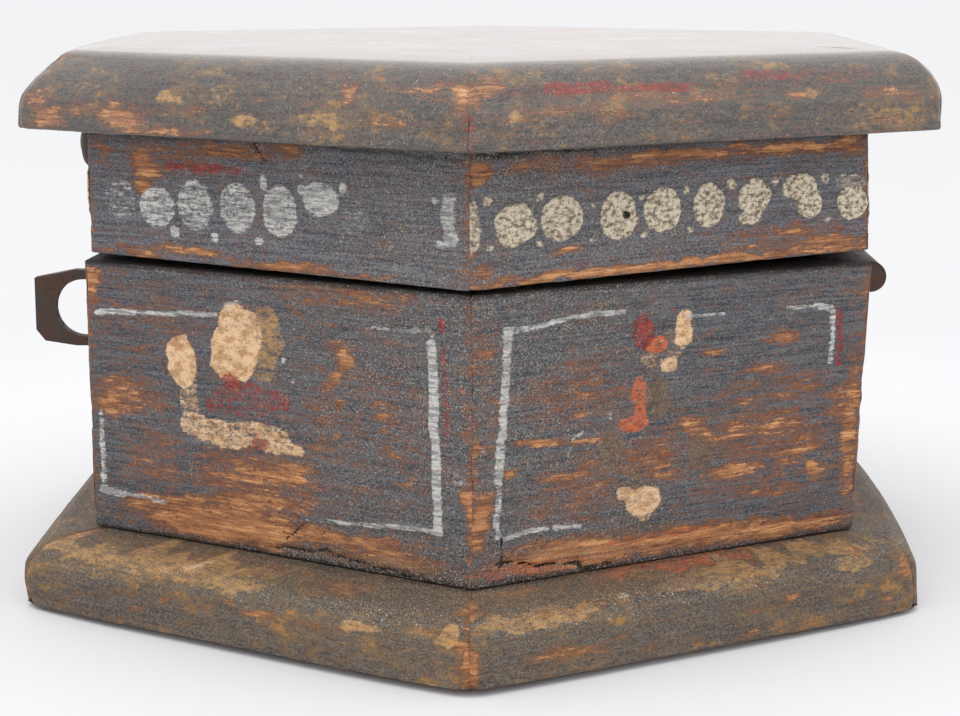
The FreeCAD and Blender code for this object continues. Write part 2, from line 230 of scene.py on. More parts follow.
def front_right_wall():
    """The lower wall on the front right side, more worn, with a pale frame and a small posy."""
    found = strokes("white",
        ([(-20, 35.5), (-17, 35.7)], 0.35, 0.45),
        ([(-17, 35.7), (-13, 36.2), (-9, 36.4), (-6.5, 36.2)], 0.36, 0.6),
        ([(1.5, 35.1), (6.2, 35.1)], 0.28, 0.3), ([(14.3, 35), (18, 34.9)], 0.3, 0.3),
        ([(18, 35), (20.3, 34.5)], 0.45, 0.6), ([(20.2, 34.5), (20.4, 32), (20.3, 28.4)], 0.4, 0.5),
        ([(-20.8, 35.4), (-20.9, 31), (-21.3, 26), (-21.6, 22), (-21.9, 19.5)], 0.6, 0.5),
        ([(-21.2, 28), (-21.4, 24)], 0.5, 0.8), ([(-21.8, 18.4), (-22, 15.4), (-21.8, 13.8)], 0.42, 0.55),
        ([(-21, 13.6), (-18, 13.9), (-16, 13.9)], 0.38, 0.7), ([(-15, 13.9), (-12, 13.7)], 0.45, 0.4),
        ([(-13.6, 20.4), (-13.1, 22.4)], 0.22, 0.1), ([(-12.8, 23.2), (-11.4, 24)], 0.22, 0.6))
    found += blobs("white",
        (-20.8, 34.6, 0.8, 0.7, 0.5), (-8.2, 25.2, 0.4, 0.5, 0.3), (-23.8, 22.5, 0.7, 1.2, -0.05),
        (7.6, 29.4, 1.4, 0.7, -0.1))
    found += strokes("red",
        ([(21, 34.6), (21.4, 31), (21.5, 28.2)], 0.5, 0.5), ([(-22, 36.2), (-22, 33.4)], 0.38, 0.1),
        ([(-22.1, 30), (-22.4, 26)], 0.3, -0.1), ([(-5.6, 22.4), (-4.6, 20.8), (-1.6, 20.2)], 0.3, 0.25),
        ([(-1.6, 20.2), (0.9, 20.3), (1.1, 21.3)], 0.28, 0.15))
    found += blobs("red",
        (-4.2, 33.8, 1.6, 1.9, 0.9), (-3.6, 35.6, 0.8, 0.7, 0.0), (-0.3, 35.7, 0.7, 0.4, 0.2))
    found += blobs("orange",
        (-2.4, 32.4, 1.4, 1.0, 0.9), (-4.4, 26.4, 1.1, 2.9, 0.45, 5), (-5.2, 24.1, 1.9, 1.0, 0.6),
        (-17, 9.9, 8, 0.7, 0.25), (-1, 11.4, 8, 0.6, 0.15))
    found += blobs("buff",
        (1.0, 33.9, 1.3, 1.9, 0.9), (-0.9, 32.4, 1.3, 1.8, 0.0), (-3.0, 30.8, 1.4, 0.9, 0.1),
        (-0.9, 30.2, 1.1, 0.9, 0.5), (0.2, 31.4, 1.0, 0.8, 0.1), (-3.8, 15.5, 2.5, 1.7, 0.8),
        (-6.2, 16.4, 1.2, 1.0, 0.5), (-4, 13.9, 1.3, 0.7, 0.3))
    found += blobs("brown",
        (-5, 18, 1.1, 1.0, 0.6), (-2.0, 27.0, 1.6, 2.6, 0.6), (-8, 21.6, 1.8, 2.0, 0.7),
        (3.3, 20, 1.8, 2.0, 0.6), (-4, 12.2, 5, 0.8, 0.3))
    found += strokes("crack",
        ([(-22, 11), (-19, 10.3), (-16, 10), (-13, 9.9)], 0.2, 0.6),
        ([(-13, 9.9), (-11.2, 8.9), (-9.6, 9)], 0.22, 0.7), ([(-9, 9.2), (-8, 9.2)], 0.2, 0.5),
        ([(-21.4, 13.6), (-21.5, 10.6)], 0.2, 0.4))
    found += worn_patches(
        (-12, 10.6, 9.5, 1.7, 1.0), (1, 10.6, 9, 1.5, 1.0), (13, 10.0, 12, 1.2, 0.75),
        (-17, 10.9, 3, 0.5, 0.8), (-13.5, 11.5, 1.7, 0.5, 0.8), (9.5, 11.3, 5, 0.7, 0.2),
        (23.6, 20, 1.2, 8.6, 0.6), (22, 23, 2.4, 2.4, 0.2), (11, 21, 11, 6.5, -0.02),
        (2.8, 23, 2.6, 1.2, 0.5, -25), (8, 22, 3, 2.6, 0.2), (7.6, 17.5, 3.4, 0.9, 0.55),
        (-1, 17.9, 2.2, 0.5, 0.35), (16, 18.6, 3.2, 0.7, 0.6), (18.7, 16, 1.6, 1.0, 0.5, -40),
        (14, 14.4, 4, 0.7, 0.3), (13.5, 32, 2.6, 0.9, 0.3), (12, 28.5, 4, 0.9, 0.1),
        (16, 25.5, 4, 1.5, 0.1), (4.8, 30.8, 1.4, 0.4, 0.3), (-12, 28, 6, 3.6, -0.1),
        (-11, 30.8, 3, 0.5, 0.1), (-16.5, 23.3, 2.6, 0.45, 0.75), (-11, 23, 2.2, 0.4, 0.35),
        (-20.4, 20.3, 0.8, 0.6, 1.0), (-22.5, 27, 1.6, 5, -0.2), (-12, 17.5, 6, 3.6, 0.08),
        (-4, 20.4, 3.4, 0.8, 0.2), (-3, 20.5, 5, 3.5, 0.1), (-23.6, 33.6, 1.5, 1.5, 0.25),
        (-24.6, 22, 0.6, 7, 0.15), (-24, 15.5, 1.3, 3.2, 0.75, -12))
    return found


def front_left_rim():
    """The lid's wall on the front left side, with its row of brushed ovals."""
    ovals = [(-20.5, 46.2, 2.2, 2.7, 0.12), (-15.3, 45.7, 2.6, 2.4, 0.42), (-10, 46.3, 2.5, 2.9, 0.35),
             (-4.3, 46.4, 2.4, 2.9, 0.35), (1.3, 46.4, 2.4, 2.9, 0.45), (6.6, 48.1, 2.4, 1.9, 0.55),
             (6.2, 45.9, 2.2, 1.0, -0.2), (11, 46.3, 1.8, 1.9, 0.0), (16.6, 46.6, 1.9, 1.8, -0.1),
             (22.4, 47.5, 1.0, 1.9, 0.5), (22.7, 45.2, 1.0, 1.2, 0.5)]
    dots = [(-0.8, 49.4, 0.45, 0.8, 1), (4.2, 48.9, 0.5, 0.5, 0.8), (4.1, 50.4, 0.22, 0.2, 0.8),
            (9.5, 49.3, 0.45, 0.6, 0.7), (-12.9, 43.1, 0.6, 0.6, 0.9), (-7.4, 42.9, 0.5, 0.5, 0.7),
            (-1.4, 43, 0.6, 0.42, 1), (-12.5, 48.2, 0.4, 0.45, 0), (-6.8, 48.7, 0.4, 0.45, -0.1),
            (21.4, 44.4, 0.5, 0.5, 1), (22.6, 49.3, 0.8, 0.4, 0.5), (20.9, 48.8, 0.35, 0.35, 0.5),
            (9.3, 44, 0.3, 0.6, -0.1), (15.4, 43.9, 0.25, 0.6, 0)]
    dots = [(s, z, 1.25 * rs, 1.25 * rz, hold) for s, z, rs, rz, hold in dots]
    found = blobs("white", *ovals, *dots)
    found += blobs("buff", (22.3, 47.5, 0.6, 0.6, 0.2))
    found += strokes("red",
        ([(-13.6, 50.5), (-4, 50.6)], 0.5, 0.45), ([(-12, 51.2), (-8, 51)], 0.4, 0.0),
        ([(-22, 51.7), (-18.5, 50.9)], 0.4, 0.0))
    found += worn_patches(
        (-17, 50.4, 1.9, 1.7, 0.85), (-16.9, 47.9, 1.1, 0.8, 1.1), (-11, 41.2, 5.5, 0.5, 0.6),
        (-18, 40.6, 6, 0.6, 0.2), (2, 40.4, 5.5, 0.55, 0.95), (11, 40.2, 5, 0.35, 0.3),
        (-6, 52.6, 9, 0.9, 0.35), (-14, 51.6, 9, 2.2, -0.12), (2.5, 53.2, 1.8, 0.5, 0.7),
        (-22.5, 51, 1.5, 2, 0.1))
    found += strokes("crack",
        ([(4, 53.2), (12, 53.4), (24, 53.1)], 0.25, 0.1),
        ([(6, 52.3), (16, 52.5), (23, 52.2)], 0.2, -0.05), ([(14.5, 46.6), (14.7, 45.3)], 0.12, 0.2),
        ([(-2.2, 53.6), (-0.7, 51.9)], 0.2, 0.3))
    return found


def front_right_rim():
    """The lid's wall on the front right side, with its row of thick gritty discs."""
    round_ones = [(-24.7, 46.4, 1.0, 2.9, 0.4), (-19.8, 46.2, 2.55, 2.3, 0.9), (-14.3, 46.5, 2.6, 2.5, 0.9),
                  (-7.4, 46.3, 2.4, 2.8, 0.75), (-1.9, 46.6, 2.4, 2.6, 0.85), (4.0, 46.6, 2.1, 2.6, 0.75),
                  (9.7, 47.2, 2.2, 2.1, 0.7), (9.2, 44.9, 1.6, 1.0, 0.4), (15.6, 48, 2.4, 1.5, 0.6),
                  (17, 46, 1.8, 1.9, 0.8), (22.4, 48.2, 2.2, 1.1, 0.2), (22.6, 45.7, 2.1, 2.0, 0.9)]
    dots = [(-23, 48.7, 0.6, 0.55, 0.8), (-17, 48.9, 0.5, 0.6, 0.9), (-10.5, 47.9, 0.4, 0.4, 0.4),
            (-4.5, 48.1, 0.5, 0.5, 0.8), (1.1, 48.6, 0.55, 0.55, 0.9), (6.9, 48.9, 0.65, 0.65, 0.7),
            (12.4, 48.8, 0.55, 0.55, 0.8), (19.1, 48.8, 0.6, 0.7, 0.8), (-22.6, 44, 0.65, 0.4, 0.4),
            (-17, 44.1, 0.7, 0.4, 0.7), (-10.6, 44, 0.6, 0.35, 0.4), (-4.1, 44.1, 0.6, 0.5, 0.9),
            (1.6, 44.2, 0.5, 0.45, 1), (-5.5, 45.8, 0.8, 0.8, 1.0), (19.4, 43.9, 0.7, 0.4, 0.3)]
    found = blobs("cream", *round_ones, *dots)
    found += blobs("buff", (21.8, 45.5, 0.8, 1.2, -0.1))
    found += blobs("crack", (-6.4, 46.3, 0.55, 0.45, 0.8, 30))
    found += worn_patches(
        (-24, 51.7, 1.7, 1.0, 1.1), (-16, 51.9, 7, 0.6, 0.15), (-11.5, 51.7, 3.4, 0.35, 0.5),
        (-1, 52.6, 5, 0.55, 0.75), (-10, 52.0, 13, 0.9, 0.3), (6, 52.3, 20, 0.7, 0.35),
        (8.5, 52.7, 3, 0.5, 0.4), (15.5, 52.5, 6, 0.5, 0.9), (22.5, 52.6, 3, 1.5, 0.5),
        (0, 40.4, 30, 0.55, 1.0), (20, 41.2, 7, 0.8, 0.55), (13, 42.6, 9, 1.6, -0.05),
        (15.3, 42.8, 1.5, 0.8, 0.5), (-13.5, 43, 2.2, 0.4, 0.2), (-23.5, 41.6, 1.8, 0.7, 0.3))
    found += strokes("red", ([(20, 42.9), (24, 42.6)], 0.5, 0.1))
    found += strokes("crack",
        ([(-24, 53.5), (-10, 53.6)], 0.25, 0.2), ([(-10.4, 52), (-10.6, 50.2)], 0.1, 0.0))
    return found


def other_wall(rng):
    """A side that is painted like the front ones: a pale frame, a faded posy and worn patches."""
    found = []
    top, low, side = rng.normal(35.3, 0.3), rng.normal(13.6, 0.3), rng.normal(21, 0.3)
    for (s0, z0), (s1, z1) in (((-side, top), (side, top)), ((side, top), (side, low)),
                               ((side, low), (-side, low)), ((-side, low), (-side, top))):
        cuts = np.sort(rng.uniform(0.1, 0.9, 3))
        for a, b in zip(np.r_[0, cuts], np.r_[cuts, 1]):
            ends = [(s0 + (s1 - s0) * a, z0 + (z1 - z0) * a), (s0 + (s1 - s0) * b, z0 + (z1 - z0) * b)]
            found.append(stroke("white", ends, rng.uniform(0.25, 0.5), rng.uniform(-0.2, 0.7)))
    found.append(stroke("red", [(side + 1, top - 1), (side + 1, rng.uniform(18, 26))], 0.4, 0.3))
    found.append(stroke("red", [(-side - 1, top - 1), (-side - 1, rng.uniform(22, 30))], 0.35, 0.0))
    middle = rng.normal(0, 1.5)
    for channel, hold in (("brown", 0.6), ("brown", 0.5), ("buff", 0.8), ("buff", 0.5), ("buff", 0.2),
                          ("red", 0.4), ("red", 0.6), ("orange", 0.4), ("brown", 0.6), ("buff", 0.6)):
        s, z = middle + rng.uniform(-6, 6), rng.uniform(16, 34)
        rs, rz = rng.uniform(1.0, 2.8), rng.uniform(0.9, 2.6)
        found.append(blob(channel, s, z, rs, rz, hold, rng.uniform(-30, 30)))
    for _ in range(26):
        s, z = rng.uniform(-24, 24), rng.uniform(12, 38)
        size = rng.uniform(0.8, 6)
        flat, peak, tilt = rng.uniform(0.15, 0.5), rng.uniform(-0.2, 0.6), rng.normal(0, 8)
        found.append(worn(s, z, size, size * flat, peak, tilt))
    for _ in range(4):
        found.append(worn(rng.uniform(-22, 22), rng.uniform(9.5, 12), rng.uniform(4, 10), 1.1, 0.8))
    return found


def other_rim(rng):
    """A side of the lid with a row of pale discs and small dots between them."""
    found, s = [], -25.0
    while s < 26:
        z, hold = rng.normal(46.4, 0.2), rng.choice([0.85, 0.6, 0.4, 0.3, -0.1])
        found.append(blob("cream", s, z, rng.uniform(2.1, 2.6), rng.uniform(2.3, 2.8), hold))
        for dot_z in (48.8, 43.9):
            found.append(blob("cream", s + 2.8, dot_z + rng.normal(0, 0.15), 0.55, 0.5, rng.uniform(0.1, 1)))
        s += rng.uniform(5.3, 5.9)
    found.append(worn(rng.uniform(-10, 10), 40.4, 25, 0.55, 0.8))
    for _ in range(9):
        z = rng.choice([41, 42.5, 51.5, 52.6])
        found.append(worn(rng.uniform(-24, 24), z, rng.uniform(2, 8), 0.6, rng.uniform(0, 0.7)))
    found.append(stroke("red", [(rng.uniform(-20, -10), 50.6), (rng.uniform(0, 12), 50.7)], 0.45, 0.2))
    return found


def scattered(rng, count, half, heights, dab, scrape, thick):
    """Stray dabs of ochre and scrapes along a moulding, whose sizes and holds lie within given limits."""
    found = []
    for _ in range(count):
        s, z = rng.uniform(-half, half), rng.uniform(*heights)
        found.append(blob("ochre", s, z, *(rng.uniform(*limits) for limits in dab)))
        s, z = rng.uniform(-half, half), rng.uniform(*heights)
        length, peak = (rng.uniform(*limits) for limits in scrape)
        found.append(worn(s, z, length, thick, peak))
    return found


def lid_nose_marks(side, rng):
    """Marks on a lid moulding. The height on its round is the height above the table."""
    found = strokes("red",
        ([(-24, 60.2), (-16, 60.4), (-8, 60.3), (-2, 60.2)], 0.5, 0.1),
        ([(3, 60.8), (10, 61), (20, 61.2)], 0.5, 0.1))
    if side == "front_left":
        found = strokes("red",
            ([(6, 60.9), (14, 61), (28, 61.2)], 0.6, -0.02), ([(29, 58.2), (29, 55)], 0.6, 0.1))
        found += worn_patches(
            (-14, 56.4, 3.0, 1.3, 1.1, -8), (-25, 55.8, 2.5, 1.4, 0.7), (-20, 57, 4, 0.8, 0.1),
            (-26, 58, 2.5, 1.2, 0.2), (15, 60, 0.9, 0.6, 0.9, 60), (28, 59.7, 1.4, 1.4, 0.8, 40),
            (24, 60.4, 2, 0.5, 0.4), (-6, 55, 5, 0.5, 0.3))
        found += blobs("ochre",
            (-7, 58.5, 2.2, 0.7, 0.4), (-1, 58.8, 2.4, 1.4, 0.1), (2.6, 56.5, 1.6, 0.7, 0.5),
            (4.5, 56, 2.2, 0.9, 0.1), (12, 56.8, 3, 0.8, 0.4), (20, 57.2, 4, 1.5, -0.15))
    if side == "front_right":
        found += strokes("red",
            ([(-20, 60.3), (-13, 60.5)], 0.6, 0.5), ([(-12, 60.0), (-4, 60.1)], 0.45, 0.5),
            ([(4, 61.2), (9, 61.1)], 0.5, 0.4), ([(-29, 58.2), (-29, 55)], 0.5, 0.1))
        found += worn_patches(
            (-26.5, 60.6, 1.6, 0.9, 0.9), (-28.6, 59.8, 0.9, 1.2, 0.8), (-18, 58.6, 6, 0.8, 0.1),
            (-4, 59.2, 8, 0.7, 0.2), (10, 58.9, 2.4, 0.6, 0.6), (22, 58.6, 4, 0.6, 0.1))
        found += blobs("ochre",
            (-24, 57.6, 0.8, 0.7, 0.5), (-21, 56.8, 2, 1.2, 0.1), (18, 56.8, 2.2, 1.0, 0.1),
            (22, 56, 2.5, 1.0, 0.1), (11.5, 59, 1.5, 0.6, 0.3))
        found += strokes("orange", ([(0, 54.5), (14, 54.5), (28, 54.8)], 0.2, 0.1))
    dab, scrape = ((0.8, 3.5), (0.4, 1.0), (-0.3, 0.2)), ((0.6, 3), (-0.4, 0.4))
    return found + scattered(rng, 14, 27, (54.8, 61), dab, scrape, 0.5)


def foot_marks(side, rng):
    """Marks on a foot moulding: ochre on its shoulder, brown dirt beside the wall and worn corners."""
    found = []
    if side == "front_left":
        found = blobs("buff", (-6.5, 7.9, 1.6, 0.3, 0.8))
        found += worn_patches(
            (27.6, 8.1, 1.4, 0.25, 1.3), (-26, 8, 1.5, 0.3, 0.5), (-8.5, 4.5, 0.7, 0.5, 0.8),
            (4.4, 4.8, 2.4, 0.4, 0.5, 10), (12, 8, 3, 0.25, 0.4), (12, 5.0, 4, 0.5, 0.1),
            (29, 3, 0.7, 3.0, 0.9), (28.2, 5.0, 0.6, 1.0, 1.0, 30))
        found += blobs("ochre",
            (-13, 7.4, 19, 0.75, 0.4), (-6, 8.1, 15, 0.3, 0.5), (1, 7.3, 3.4, 0.5, 0.6),
            (-2, 6.7, 3.5, 0.6, 0.2), (-18, 6.6, 7, 1.2, 0.1), (17, 5.6, 2.6, 0.7, 0.6),
            (27, 6, 1.2, 1.2, 0.7, 60))
        found += blobs("brown", (16, 7.9, 16, 0.5, 0.2))
    if side == "front_right":
        found = worn_patches(
            (-27.4, 8.1, 1.7, 0.3, 1.3), (-29, 3, 0.8, 3.0, 0.75), (-19, 7.4, 7, 0.4, 0.4),
            (-18, 3, 5, 1.0, 0.0), (-12, 3.3, 1, 0.5, 0.3), (10, 4.7, 0.9, 0.4, 0.9),
            (27.4, 5.6, 1.2, 1.4, 0.6), (6, 7.6, 2.4, 0.3, 0.4))
        found += blobs("brown", (-14, 7.8, 16, 0.5, 0.25))
        found += blobs("ochre",
            (10, 8.0, 20, 0.3, 0.4), (-21, 6.9, 8, 0.9, 0.35), (1, 7.6, 9, 0.5, 0.3), (20, 7, 3, 0.8, 0.3))
        found += blobs("cream", (-10.6, 7.6, 0.7, 0.3, 0.3))
        found += blobs("orange", (0, WALL_LOW, 12, 0.3, 0.3))
    found += worn_patches((-4, 8.35, 26, 0.12, 0.15)) + blobs("brown", (0, WALL_LOW, 40, 0.3, 0.35))
    dab, scrape = ((0.8, 4), (0.4, 1.2), (-0.3, 0.15)), ((0.6, 2), (-0.5, 0.3))
    return found + scattered(rng, 12, 28, (0.5, 8), dab, scrape, 0.45)


# ---------------------------------------------------------------- outlines of the boards
# An outline goes round anticlockwise with the outside of the box to the right. It is a list of (a, z, edge):
# a is the distance from the box's middle, and edge is the coat of the run that starts there.

PAINT, RAW, TOP = 0, 1, 2  # the places of a board's materials
ARRIS_STEP, LEDGE_STEP = 0.9, 0.8  # steps across a board's painted edge and under the lid's ledge


def run(a0, z0, a1, z1, step, edge):
    """Points along a straight run, without its end."""
    count = max(1, round(math.hypot(a1 - a0, z1 - z0) / step))
    return [(a0 + (a1 - a0) * i / count, z0 + (z1 - z0) * i / count, edge) for i in range(count)]


def bend(a0, z0, a1, z1, a2, z2, edge, count=4):
    """A small rounding of the corner a1, z1, from a0, z0 to a2, z2, without its end."""
    found = []
    for i in range(count):
        t = i / count
        p, q, r = (1 - t) ** 2, 2 * t * (1 - t), t * t
        found.append((p * a0 + q * a1 + r * a2, p * z0 + q * z1 + r * z2, edge))
    return found


def board_outline(low, high, step, arris=0.3):
    """A wall board: its face is painted, and so are its top and bottom edges."""
    outline = run(FLAT, low + arris, FLAT, high - arris, step, PAINT)
    outline += bend(FLAT, high - arris, FLAT, high, FLAT - arris, high, PAINT)
    outline += run(FLAT - arris, high, INSIDE, high, ARRIS_STEP, PAINT)
    outline += run(INSIDE, high, INSIDE, low, COARSE, RAW)
    outline += run(INSIDE, low, FLAT - arris, low, ARRIS_STEP, PAINT)
    return outline + bend(FLAT - arris, low, FLAT, low, FLAT, low + arris, PAINT)


def round_over(out, shoulder, nose, top, step):
    """The quarter round above a moulding's nose."""
    count = round(math.pi / 4 * (out - shoulder + top - nose) / step)
    turns = [math.pi / 2 * i / count for i in range(count)]
    wide, high = out - shoulder, top - nose
    return [(shoulder + wide * math.cos(t), nose + high * math.sin(t), PAINT) for t in turns]


def foot_outline(step):
    """The foot: an upright nose, a quarter round and a slope up to the wall."""
    shoulder, top = FOOT_OUT - FOOT_ROUND, FOOT_NOSE + FOOT_ROUND
    outline = run(FOOT_OUT, FOOT_BEVEL, FOOT_OUT, FOOT_NOSE, step, PAINT)
    outline += round_over(FOOT_OUT, shoulder, FOOT_NOSE, top, step)
    outline += run(shoulder, top, FLAT, WALL_LOW, step, PAINT)
    outline += run(FLAT, WALL_LOW, INSIDE, WALL_LOW, ARRIS_STEP, PAINT)
    outline += run(INSIDE, WALL_LOW, INSIDE, 0, COARSE, RAW)
    under = FOOT_OUT - 3 * FOOT_BEVEL
    outline += run(INSIDE, 0, under, 0, COARSE, RAW)
    return outline + bend(under, 0, FOOT_OUT - 0.2, 0.4 * FOOT_BEVEL, FOOT_OUT, FOOT_BEVEL, PAINT, 7)


def lid_outline(step, arris=0.5):
    """The lid's edge. Its top falls a little towards the outside, so that it runs softly into the round."""
    shoulder, nose = LID_OUT - LID_ROUND, LID_UNDER + LID_NOSE
    upper = round_over(LID_OUT, shoulder, nose, LID_TOP, step)
    upper += run(shoulder, LID_TOP, INSIDE, LID_TOP, step, TOP)
    outline = run(LID_OUT, LID_UNDER + arris, LID_OUT, nose - LID_FALL, step, PAINT)
    outline += [(a, z - LID_FALL * ((a - INSIDE) / (LID_OUT - INSIDE)) ** 2, edge) for a, z, edge in upper]
    outline += run(INSIDE, LID_TOP, INSIDE, LID_UNDER, COARSE, RAW)
    outline += run(INSIDE, LID_UNDER, LID_OUT - arris, LID_UNDER, LEDGE_STEP, PAINT)
    low = LID_UNDER
    return outline + bend(LID_OUT - arris, low, LID_OUT, low, LID_OUT, low + arris, PAINT, 3)


def columns(step):
    """Places along a board from -1 at one mitre to 1 at the other, closer together near the mitres."""
    half = FLAT * SLOPE
    near = np.array([0, 0.15, 0.3, 0.45, 0.62, 0.82, 1.08, 1.4])
    middle = half - near[-1] - step
    inner = np.linspace(-middle, middle, round(2 * middle / step) + 1)
    return np.concatenate([near - half, inner, half - near[::-1]]) / half


def normals(a, z):
    """Outward normals of a closed anticlockwise outline."""
    da, dz = np.roll(a, -1) - np.roll(a, 1), np.roll(z, -1) - np.roll(z, 1)
    size = np.hypot(da, dz)
    return dz / size, -da / size


# ---------------------------------------------------------------- boards as meshes


# How far the edges of each paint's marks stray
RAGGED = {"white": 0.35, "cream": 0.7, "buff": 1.1, "orange": 1.0, "red": 0.9, "crack": 1.2}
OTHERS_RAGGED = 1.6
THICKNESS = {"cream": 0.16, "white": 0.06, "buff": 0.06, "red": 0.03, "orange": 0.05}  # of each paint


def mark_levels(marks, s, z):
    """The level of each channel at each place: the highest of its marks."""
    levels = {channel: np.full(len(s), -2.0) for channel in CHANNELS}
    levels["worn"] = np.full(len(s), UNWORN)
    flat = np.stack([s, z, np.zeros(len(s))], axis=1)
    off_s, off_z = (noise(flat, 1.7, n, 3) - 0.5 for n in (901, 902))
    for channel, level in marks:
        much = RAGGED.get(channel, OTHERS_RAGGED)
        levels[channel] = np.maximum(levels[channel], level(s + much * off_s, z + 0.8 * much * off_z))
    return levels


def wear_depth(points, to_mitre, levels, seed):
    """How far in from its first flat face each point of an old painted board lies, in millimetres."""
    depth = 0.05 * noise(points, 9.0, seed) + 0.05 * noise(points, 2.2, seed + 1)
    depth += 0.05 * noise(points, (1.6, 0.9, 0.5), seed + 2, 1)
    depth += 0.05 * ramp(levels["worn"], -0.4, 0.6)
    depth += 0.30 * ramp(levels["crack"], -0.3, 0.7)
    for channel, height in THICKNESS.items():
        depth -= height * ramp(levels[channel], -0.2, 0.7)
    nicks = ramp(noise(points, 3.0, seed + 3), 0.55, 0.8)
    depth += 0.22 * nicks * ramp(to_mitre, 1.3, 0.1)
    joint = ramp(noise(points, 5.0, seed + 4), 0.3, 0.6)
    return depth + 0.06 * joint * ramp(to_mitre, 0.3, 0.05)


def rounded(to_mitre, radius):
    """How far the rounding of an upright corner takes the face in."""
    reach = radius * SLOPE
    x = np.clip(reach - to_mitre, 0, reach)
    return radius - np.sqrt(radius * radius - x * x)


# How far the old box's corners stand from those of a true hexagon: (height, x, y) for each kind of board.
# Corner 0 is the front one, and they go round anticlockwise, seen from above.
DRIFT = {
    "wall": {0: [(8, 0.1, -0.1)], 1: [(8, -0.05, 0.1), (39, 1.05, -0.4)],
             5: [(8, -0.7, -0.2), (39, -0.85, -0.3)]},
    "rim": {0: [(40, -0.1, -0.1)], 1: [(40, 0.7, -0.2), (54, 0.25, 0)],
            5: [(40, -0.1, 0), (54, -0.15, -0.1)]},
    "foot": {0: [(0, 0.1, -0.4), (8, 0.0, -0.1)], 1: [(0, -0.6, 0.1), (5, -0.9, 0.3), (8, -1.3, 0.5)],
             2: [(0, -0.6, -0.3), (5, -0.9, -0.4), (8, -1.3, -0.5)], 3: [(0, 0, -0.4), (8, 0, -0.4)],
             4: [(0, -0.5, 0.2), (8, -0.5, 0)],
             5: [(0, -0.3, 0), (3, -0.75, -0.1), (5, -0.6, 0), (7, 0.35, 0.2), (8, 0.6, 0.3)]},
    "lid": {4: [(54, 0.6, -0.3), (60, 1.0, -0.4), (63.1, 0, 0)],
            5: [(54, 0.5, 0.2), (57, 0.7, 0.2), (58, 1.0, 0.3), (59.4, 1.7, 0.5), (60.7, 2.3, 0.6),
                (62, 2.3, 0.6), (62.8, 1.4, 0.3), (63.1, 0, 0)]},
}
FOOT_LIFT = 0.5  # how far the front of the foot stands off the table
BOW = {"foot": {0: 0.7, 5: 1.2, 4: 0.3}}  # how far the middles of the sides stand out, by side


def drift(kind, k, w, z):
    """How far the points of a board on side k have moved, at w along it from -1 to 1."""
    shift = np.zeros((len(w), 3))
    for corner, near in ((k, np.clip(-w, 0, 1) ** 2), ((k + 1) % 6, np.clip(w, 0, 1) ** 2)):
        if corner in DRIFT[kind]:
            heights, x, y = zip(*DRIFT[kind][corner])
            shift[:, 0] += near * np.interp(z, heights, x)
            shift[:, 1] += near * np.interp(z, heights, y)
    turn = (k - 1) * TURN
    bow = BOW.get(kind, {}).get(k, 0.0) * (1 - w**4)
    shift[:, 0] += bow * math.cos(turn)
    shift[:, 1] += bow * math.sin(turn)
    return shift


def placed(k, a, s, z):
    """Points of side k in the frame's axes."""
    turn = (k - 1) * TURN
    n, t = (math.cos(turn), math.sin(turn)), (-math.sin(turn), math.cos(turn))
    return np.stack([a * n[0] + s * t[0], a * n[1] + s * t[1], z], axis=1)


def board(kind, k, outline, marks, look, step, seed):
    """A mitred board on side k. look is (corner radius, wear at the corner, bands of painted shade, highest
    relief).
    """
    radius, corner_wear, painted_shade, relief = look
    a, z, edge = (np.array(v) for v in zip(*outline))
    w = columns(step)
    na, nz = normals(a, z)
    rows, cols = len(a), len(w)
    aa, zz = np.repeat(a, cols), np.repeat(z, cols)
    ss = np.tile(w, rows) * aa * SLOPE
    nna, nnz = np.repeat(na, cols), np.repeat(nz, cols)
    to_mitre = aa * SLOPE - np.abs(ss)
    coated = np.repeat((edge != RAW) | (np.roll(edge, 1) != RAW), cols)
    levels = mark_levels(marks, ss, zz)
    points = placed(k, aa, ss, zz)

    rub = ramp(noise(points, (6, 6, 3), seed + 5), 0.35, 0.65)
    corner = np.exp(-((to_mitre / 0.9) ** 2)) * (rub + 0.35) * corner_wear
    levels["worn"] = np.maximum(levels["worn"], UNWORN + corner * 1.6)
    depth = np.maximum(wear_depth(points, to_mitre, levels, seed), -relief)
    depth = (depth + rounded(to_mitre, radius) * np.abs(nna)) * np.where(coated, 1.0, 0.15)
    if kind == "lid":
        depth *= ramp(aa, INSIDE, INSIDE + 1.5) * (1 - 0.8 * ramp(nnz, 0.7, 0.95))
    a2 = aa - depth * nna
    z2 = np.clip(zz - depth * nnz, z.min(), z.max())
    s2 = ss * a2 / aa
    if kind == "foot":
        z2 = z2 + FOOT_LIFT * ramp(points[:, 1], -20, -FLAT) * ramp(zz, WALL_LOW - 1, 0)
    if kind == "rim":
        where = placed(k, a2, s2, z2)[:, 0]
        climb = np.where(where > 0, RISE_RIGHT * where, -RISE_LEFT * where)
        z2 = z2 + climb * (LID_UNDER - zz) / (LID_UNDER - LID_LOW)
    mesh_points = placed(k, a2, s2, z2) + drift(kind, k, np.tile(w, rows), zz)

    i = np.repeat(np.arange(rows), cols - 1)
    j = np.tile(np.arange(cols - 1), rows)
    i_next = (i + 1) % rows
    quads = np.stack([i * cols + j, i * cols + j + 1, i_next * cols + j + 1, i_next * cols + j], axis=1)
    faces = quads.tolist()
    faces += [[r * cols for r in range(rows)], [r * cols + cols - 1 for r in range(rows)][::-1]]
    coats = np.concatenate([edge[i], [RAW, RAW]]).astype(np.int32)
    levels["dust"] = dust_level(kind, points, zz, seed)
    # painted shade: dark bands at the joins, in the lid gap, under the lid's overhang and along the foot's
    # bottom edge
    levels["painted_shade"] = painted_shade_level(points, zz, painted_shade, seed)
    grain = np.stack([ss + 70.0 * (k + 1), aa, zz], axis=1)
    return piece(kind + "_" + SIDES[k], mesh_points, faces, coats, levels, grain)


